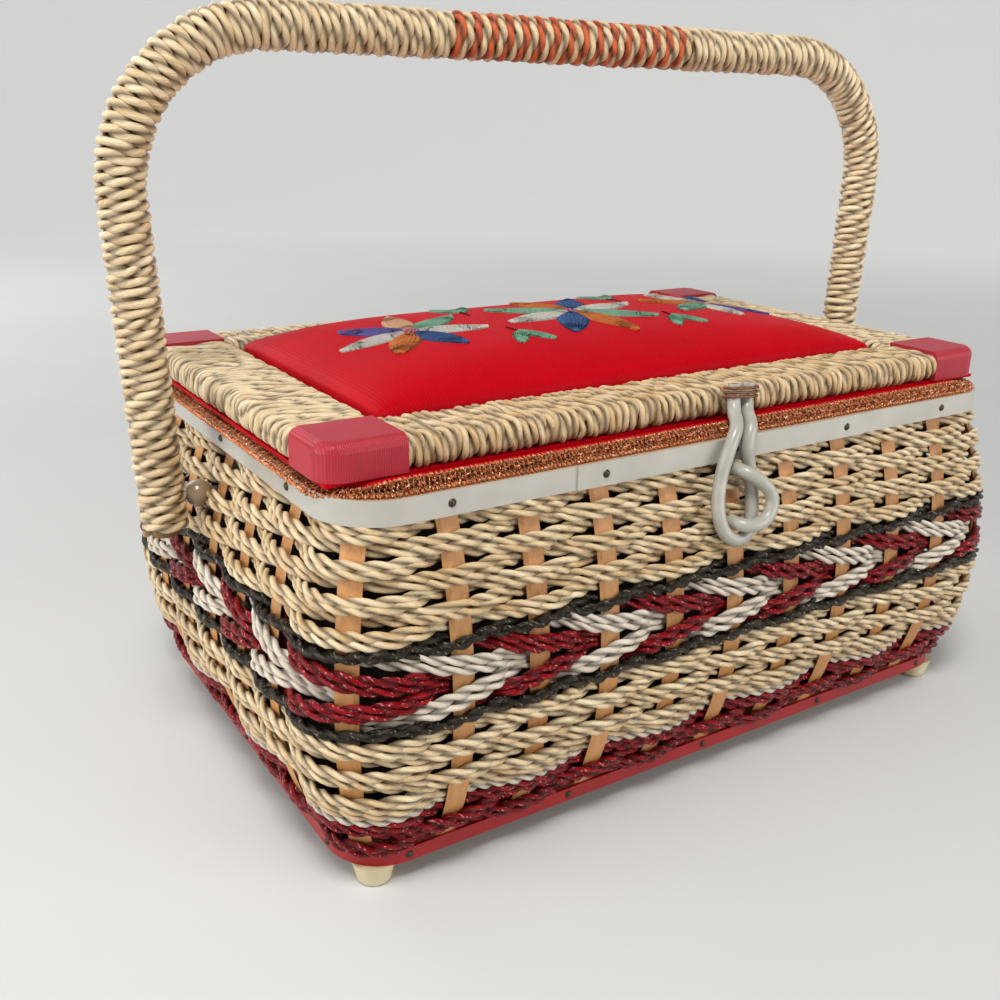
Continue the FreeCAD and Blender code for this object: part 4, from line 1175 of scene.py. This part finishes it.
plain_nodes = {
    "rim_band": pearl, "rim_band_patch": pearl, "base_band": red_plastic, "feet": cream_plastic,
    "rim_tacks": tack_metal, "base_band_nails": tack_metal, "foot_nails": steel,
    "pivot_plates": steel, "pivot_pins": steel, "hinge_leaves_rim": brass, "hinge_leaves_lid": brass,
    "hinge_screws_rim": steel, "hinge_screws_lid": steel, "hinge_pins": steel,
    "bead_spacers": bead_finish, "latch_tie": tie_wire,
}
for part_name, material in plain_nodes.items():
    dress(nodes[part_name], material)
print("finish: film, plastic and metal on", len(plain_nodes), "nodes")

# %% [markdown]
# ## The corner blocks
# Each corner of the lid is a block covered in rose-red ribbed ribbon. The ribs run from front to
# back over the top and down the front, so one wave along the lid's length makes them on both. The
# frame's blocks have narrow round edges on top alone; ribbon makes the outer edges and the upright
# ones softer, so here they are rounded off with a wider bevel.

# %% Corner blocks
ribbon = Finish("block_cover")
ribbon_place = ribbon.place()
ribs = ribbon.node("ShaderNodeTexWave", {"wave_type": "BANDS", "bands_direction": "X"},
                   {"Vector": ribbon_place, "Scale": 420.0, "Distortion": 0.8, "Detail": 2.0}, "Fac")
ribbon_cloud = ribbon.noise(ribbon_place, 90.0)
block_cover = ribbon.paint({
    "Base Color": ribbon.mix(ribs * 0.35 + ribbon_cloud * 0.65, tint(140, 22, 36), tint(190, 54, 68)),
    "Roughness": ribbon_cloud * 0.2 + 0.3,
    "Normal": ribbon.bump(ribs, 0.0002, 0.4),
    "Specular IOR Level": 0.25,
})
print("finish:", block_cover.name)

# %% Corner block pieces
block_bottom = 138.0
block_top = 149.8
block_corner = 4.5
block_soft_edge = 3.2
shell = bmesh.new()
for end in (-1, 1):
    for edge_y, inward in ((lid_front, 1), (lid_back, -1)):
        edge_x = end * lid_half_x
        plan = [
            (edge_x - end * block_corner, edge_y), (edge_x - end * block_length, edge_y),
            (edge_x - end * block_length, edge_y + inward * block_depth),
            (edge_x, edge_y + inward * block_depth), (edge_x, edge_y + inward * block_corner),
        ]
        low = [shell.verts.new((x * mm, y * mm, block_bottom * mm)) for x, y in plan]
        high = [shell.verts.new((x * mm, y * mm, block_top * mm)) for x, y in plan]
        shell.faces.new(low)
        shell.faces.new(high)
        for first in range(len(plan)):
            second = (first + 1) % len(plan)
            shell.faces.new((low[first], low[second], high[second], high[first]))
        softened = [shell.edges.get((high[first], high[(first + 1) % len(plan)]))
                    for first in (0, 3, 4)]
        softened.extend(shell.edges.get((low[corner], high[corner])) for corner in (0, 4))
        bmesh.ops.bevel(shell, geom=softened, offset=block_soft_edge * mm, segments=3, profile=0.45,
                        affect="EDGES")
bmesh.ops.recalc_face_normals(shell, faces=shell.faces)
block_mesh = bpy.data.meshes.new("lid_corner_blocks")
shell.to_mesh(block_mesh)
shell.free()
blocks = add_object("lid_corner_blocks", block_mesh)
dress(blocks, block_cover)
fit(blocks, "lid", "block_cover", "corner_blocks")
print("blocks:", len(block_mesh.polygons), "faces")

# %% [markdown]
# ## Embroidered flowers
# The pad is decorated with flowers in coloured thread. Each petal is filled with satin stitch:
# threads laid side by side from one edge of the petal to the other. So each stitch is a short
# thread that rises from the cloth, lies over the stuffing and goes down again. The flowers are
# plain ones, with long petals, leaves, stems and knotted hearts.

# %% Stitches
thread_radius = 0.5
stitch_gap = 0.6
stitch_sunk = 0.2
shortest_half = 0.5
petal_rise = 0.8
stem_rise = 0.35
knot_rise = 0.9
knot_half = 0.7
heart_radius = 3.2
above_pad = 0.5
bpy.context.view_layer.update()
pad_tree = BVHTree.FromObject(pad, bpy.context.evaluated_depsgraph_get())


def pad_height(x, y):
    """Height of the pad's cloth, in millimetres."""
    hit = pad_tree.ray_cast(Vector((x * mm, y * mm, above_pad)), Vector((0, 0, -1)))
    return hit[0].z / mm


def stitch(start, end, rise, steps=8):
    """A thread's line from start to end on the cloth, lifted in its middle."""
    share = np.linspace(0, 1, steps + 1)
    x = start[0] + (end[0] - start[0]) * share
    y = start[1] + (end[1] - start[1]) * share
    lift = rise * np.sin(np.pi * share) ** 0.5 - stitch_sunk
    z = np.array([pad_height(a, b) for a, b in zip(x, y)]) + lift
    places = np.stack([x, y, z], axis=-1)
    run = np.array([end[0] - start[0], end[1] - start[1], 0.0])
    run = run / np.linalg.norm(run)
    aside = np.broadcast_to(np.array([-run[1], run[0], 0.0]), places.shape)
    return places, aside, np.broadcast_to(flat_up, places.shape), False


def petal(root, angle, length, width):
    """Satin stitches across a petal that grows from root at an angle."""
    way = np.array([np.cos(angle), np.sin(angle)])
    aside = np.array([-way[1], way[0]])
    lines = []
    for far in np.arange(stitch_gap, length, stitch_gap):
        share = far / length
        half = width / 2 * np.sin(np.pi * share**0.75) ** 0.6
        if half > shortest_half:
            middle = np.array(root) + way * far
            lines.append(stitch(middle - aside * half, middle + aside * half, petal_rise))
    return lines


def stem(points):
    """A stem of overlapping stitches along points."""
    return [stitch(first, second, stem_rise, 10) for first, second in zip(points[:-1], points[1:])]


threads = {name: [] for name in ("white", "peach", "orange", "blue", "mint", "violet", "black", "pink")}
pad_top = pad_height(0.0, pad_middle_y)
print("stitches: thread of", 2 * thread_radius, "mm; pad height", round(pad_top, 1), "mm")


# %% The flowers
def flower(middle, petals, length, width, colours, turn):
    """A ring of petals with a knotted heart."""
    for index in range(petals):
        angle = turn + 2 * np.pi * index / petals
        root = np.array(middle) + heart_radius * np.array([np.cos(angle), np.sin(angle)])
        threads[colours[index % len(colours)]].extend(petal(root, angle, length, width))
    for ring_radius, count in ((1.0, 4), (2.6, 9)):
        for index in range(count):
            angle = 2 * np.pi * index / count + ring_radius
            spot = np.array(middle) + ring_radius * np.array([np.cos(angle), np.sin(angle)])
            threads["pink"].append(stitch(spot - knot_half, spot + knot_half, knot_rise, 4))


flower((2.0, 4.0), 8, 33.0, 13.0, ("white", "blue", "orange", "mint"), 0.2)
flower((-72.0, 6.0), 7, 27.0, 12.0, ("mint", "peach", "violet", "white", "orange", "blue", "white"), 0.5)
flower((76.0, 6.0), 7, 27.0, 12.0, ("peach", "blue", "white", "orange", "mint", "white", "violet"), 0.1)
for side in (-1, 1):
    threads["black"].extend(stem([(side * 40, 34), (side * 38, 26), (side * 39, 17)]))
    threads["black"].extend(stem([(side * 40, -26), (side * 38, -18), (side * 39, -9)]))
    for leaf_angle in (1.0, 2.1):
        threads["mint"].extend(petal((side * 38, 26), leaf_angle, 15.0, 6.5))
        threads["mint"].extend(petal((side * 38, -18), -leaf_angle, 15.0, 6.5))
thread_colours = {
    "white": (tint(236, 230, 218), tint(200, 192, 178)),
    "peach": (tint(240, 190, 150), tint(214, 150, 110)),
    "orange": (tint(230, 132, 60), tint(196, 94, 30)),
    "blue": (tint(64, 104, 160), tint(34, 66, 118)),
    "mint": (tint(150, 200, 170), tint(104, 160, 126)),
    "violet": (tint(120, 104, 176), tint(84, 70, 138)),
    "black": (tint(44, 38, 40), tint(20, 16, 18)),
    "pink": (tint(232, 140, 160), tint(200, 96, 122)),
}
for colour, lines in threads.items():
    sewn = cord_piece("stitches_" + colour, lines, thread_radius, twist=2.4, sides=6,
                      ply_offset=0.3, ply_radius=0.7)
    # The threads' grooves get a quarter of the painted groove shade.
    dress(sewn, cord_finish("thread_" + colour, *thread_colours[colour], 0.35, 0.4, painted_groove_shade=0.25))
    fit(sewn, "lid", "pad_satin")

# %% [markdown]
# ## Floor and light
# A plain pale floor and soft light show the finishes as they are. The floor bends up into a
# backdrop. Far from the lamps it would be dark, so it glows there for the camera and for
# reflections, and lights nothing. A key lamp high at the front left gives the shadows, weaker
# lamps fill the front, the left and the back, and the sky lights the rest. They are set so that a
# colour comes out about as it was written.

# %% Floor
floor_flat = 1.6
floor_bend = 1.4
floor_sides = 96
floor_rings = [(0.0, 0.0), (0.5, 0.0), (floor_flat, 0.0)]
for bend_angle in np.radians(np.arange(7.5, 90.1, 7.5)):
    bend_reach = floor_flat + floor_bend * np.sin(bend_angle)
    floor_rings.append((bend_reach, floor_bend * (1 - np.cos(bend_angle))))
floor_points = []
for reach, height in floor_rings:
    for angle in np.arange(floor_sides) * 2 * np.pi / floor_sides:
        floor_points.append((reach * np.cos(angle), reach * np.sin(angle), height))
floor_faces = []
for ring_number in range(len(floor_rings) - 1):
    for side_number in range(floor_sides):
        low = ring_number * floor_sides + side_number
        beside = ring_number * floor_sides + (side_number + 1) % floor_sides
        floor_faces.append((low, low + floor_sides, beside + floor_sides, beside))
floor_mesh = bpy.data.meshes.new("floor")
floor_mesh.from_pydata(floor_points, [], floor_faces)
floor_mesh.polygons.foreach_set("use_smooth", np.ones(len(floor_faces), bool))
floor = add_object("floor", floor_mesh)
floor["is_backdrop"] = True
print("floor: a bowl", 2 * (floor_flat + floor_bend), "m across")

# %% Floor finish
glow_start = 0.5
glow_rise = 0.8
black = (0.0, 0.0, 0.0, 1.0)
glow_light = (0.38, 0.38, 0.38, 1.0)
floor_finish = Finish("floor_paper")
floor_cloud = floor_finish.noise(floor_finish.place(), 6.0)
from_middle = floor_finish.node("ShaderNodeVectorMath", {"operation": "LENGTH"},
                                {0: floor_finish.place()}, "Value")
seen = floor_finish.node("ShaderNodeLightPath", {}, {}, "Is Camera Ray")
for ray in ("Is Glossy Ray", "Is Transmission Ray"):
    seen = seen + floor_finish.node("ShaderNodeLightPath", {}, {}, ray)
glow = floor_finish.within((from_middle - glow_start) * glow_rise)
dress(floor, floor_finish.paint({
    "Base Color": floor_finish.mix(floor_cloud, tint(202, 202, 200), tint(210, 210, 208)),
    "Roughness": 0.8,
    "Emission Color": floor_finish.mix(glow * floor_finish.within(seen), black, glow_light),
    "Emission Strength": 1.0,
}))
print("floor: glows from", glow_start, "m out")


# %% Light
box_middle = Vector((0.0, 0.0, 0.1))


def soft_lamp(name, place, size, power):
    """A square lamp that faces the middle of the box."""
    data = bpy.data.lights.new(name, "AREA")
    data.size = size
    data.energy = power
    lamp = add_object(name, data)
    lamp.location = place
    lamp.rotation_euler = (box_middle - Vector(place)).to_track_quat("-Z", "Y").to_euler()


soft_lamp("key_lamp", (-0.45, -0.55, 1.35), size=0.4, power=14.0)
soft_lamp("fill_lamp", (0.6, -1.0, 0.4), size=0.7, power=6.0)
soft_lamp("side_lamp", (-1.1, 0.1, 0.4), size=0.7, power=7.0)
soft_lamp("back_lamp", (-0.4, 1.2, 0.8), size=0.9, power=5.0)
sky = bpy.data.worlds.new("sky")
bpy.context.scene.world = sky
sky.use_nodes = True
sky_light = sky.node_tree.nodes["Background"]
sky_light.inputs["Color"].default_value = (1.0, 1.0, 1.0, 1.0)
sky_light.inputs["Strength"].default_value = 0.3
print("light: four lamps and a pale sky")

# %% [markdown]
# ## Sizes and the end
# Both boxes, the frame's and the dressed one, are printed side by side. The dressed box
# may not outgrow the frame.

# %% Sizes
dressed_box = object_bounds()
for box_name, box in (("CAD", cad_box), ("dressed", dressed_box)):
    print(box_name, "corners, mm:", [[round(value / mm, 1) for value in corner] for corner in box])
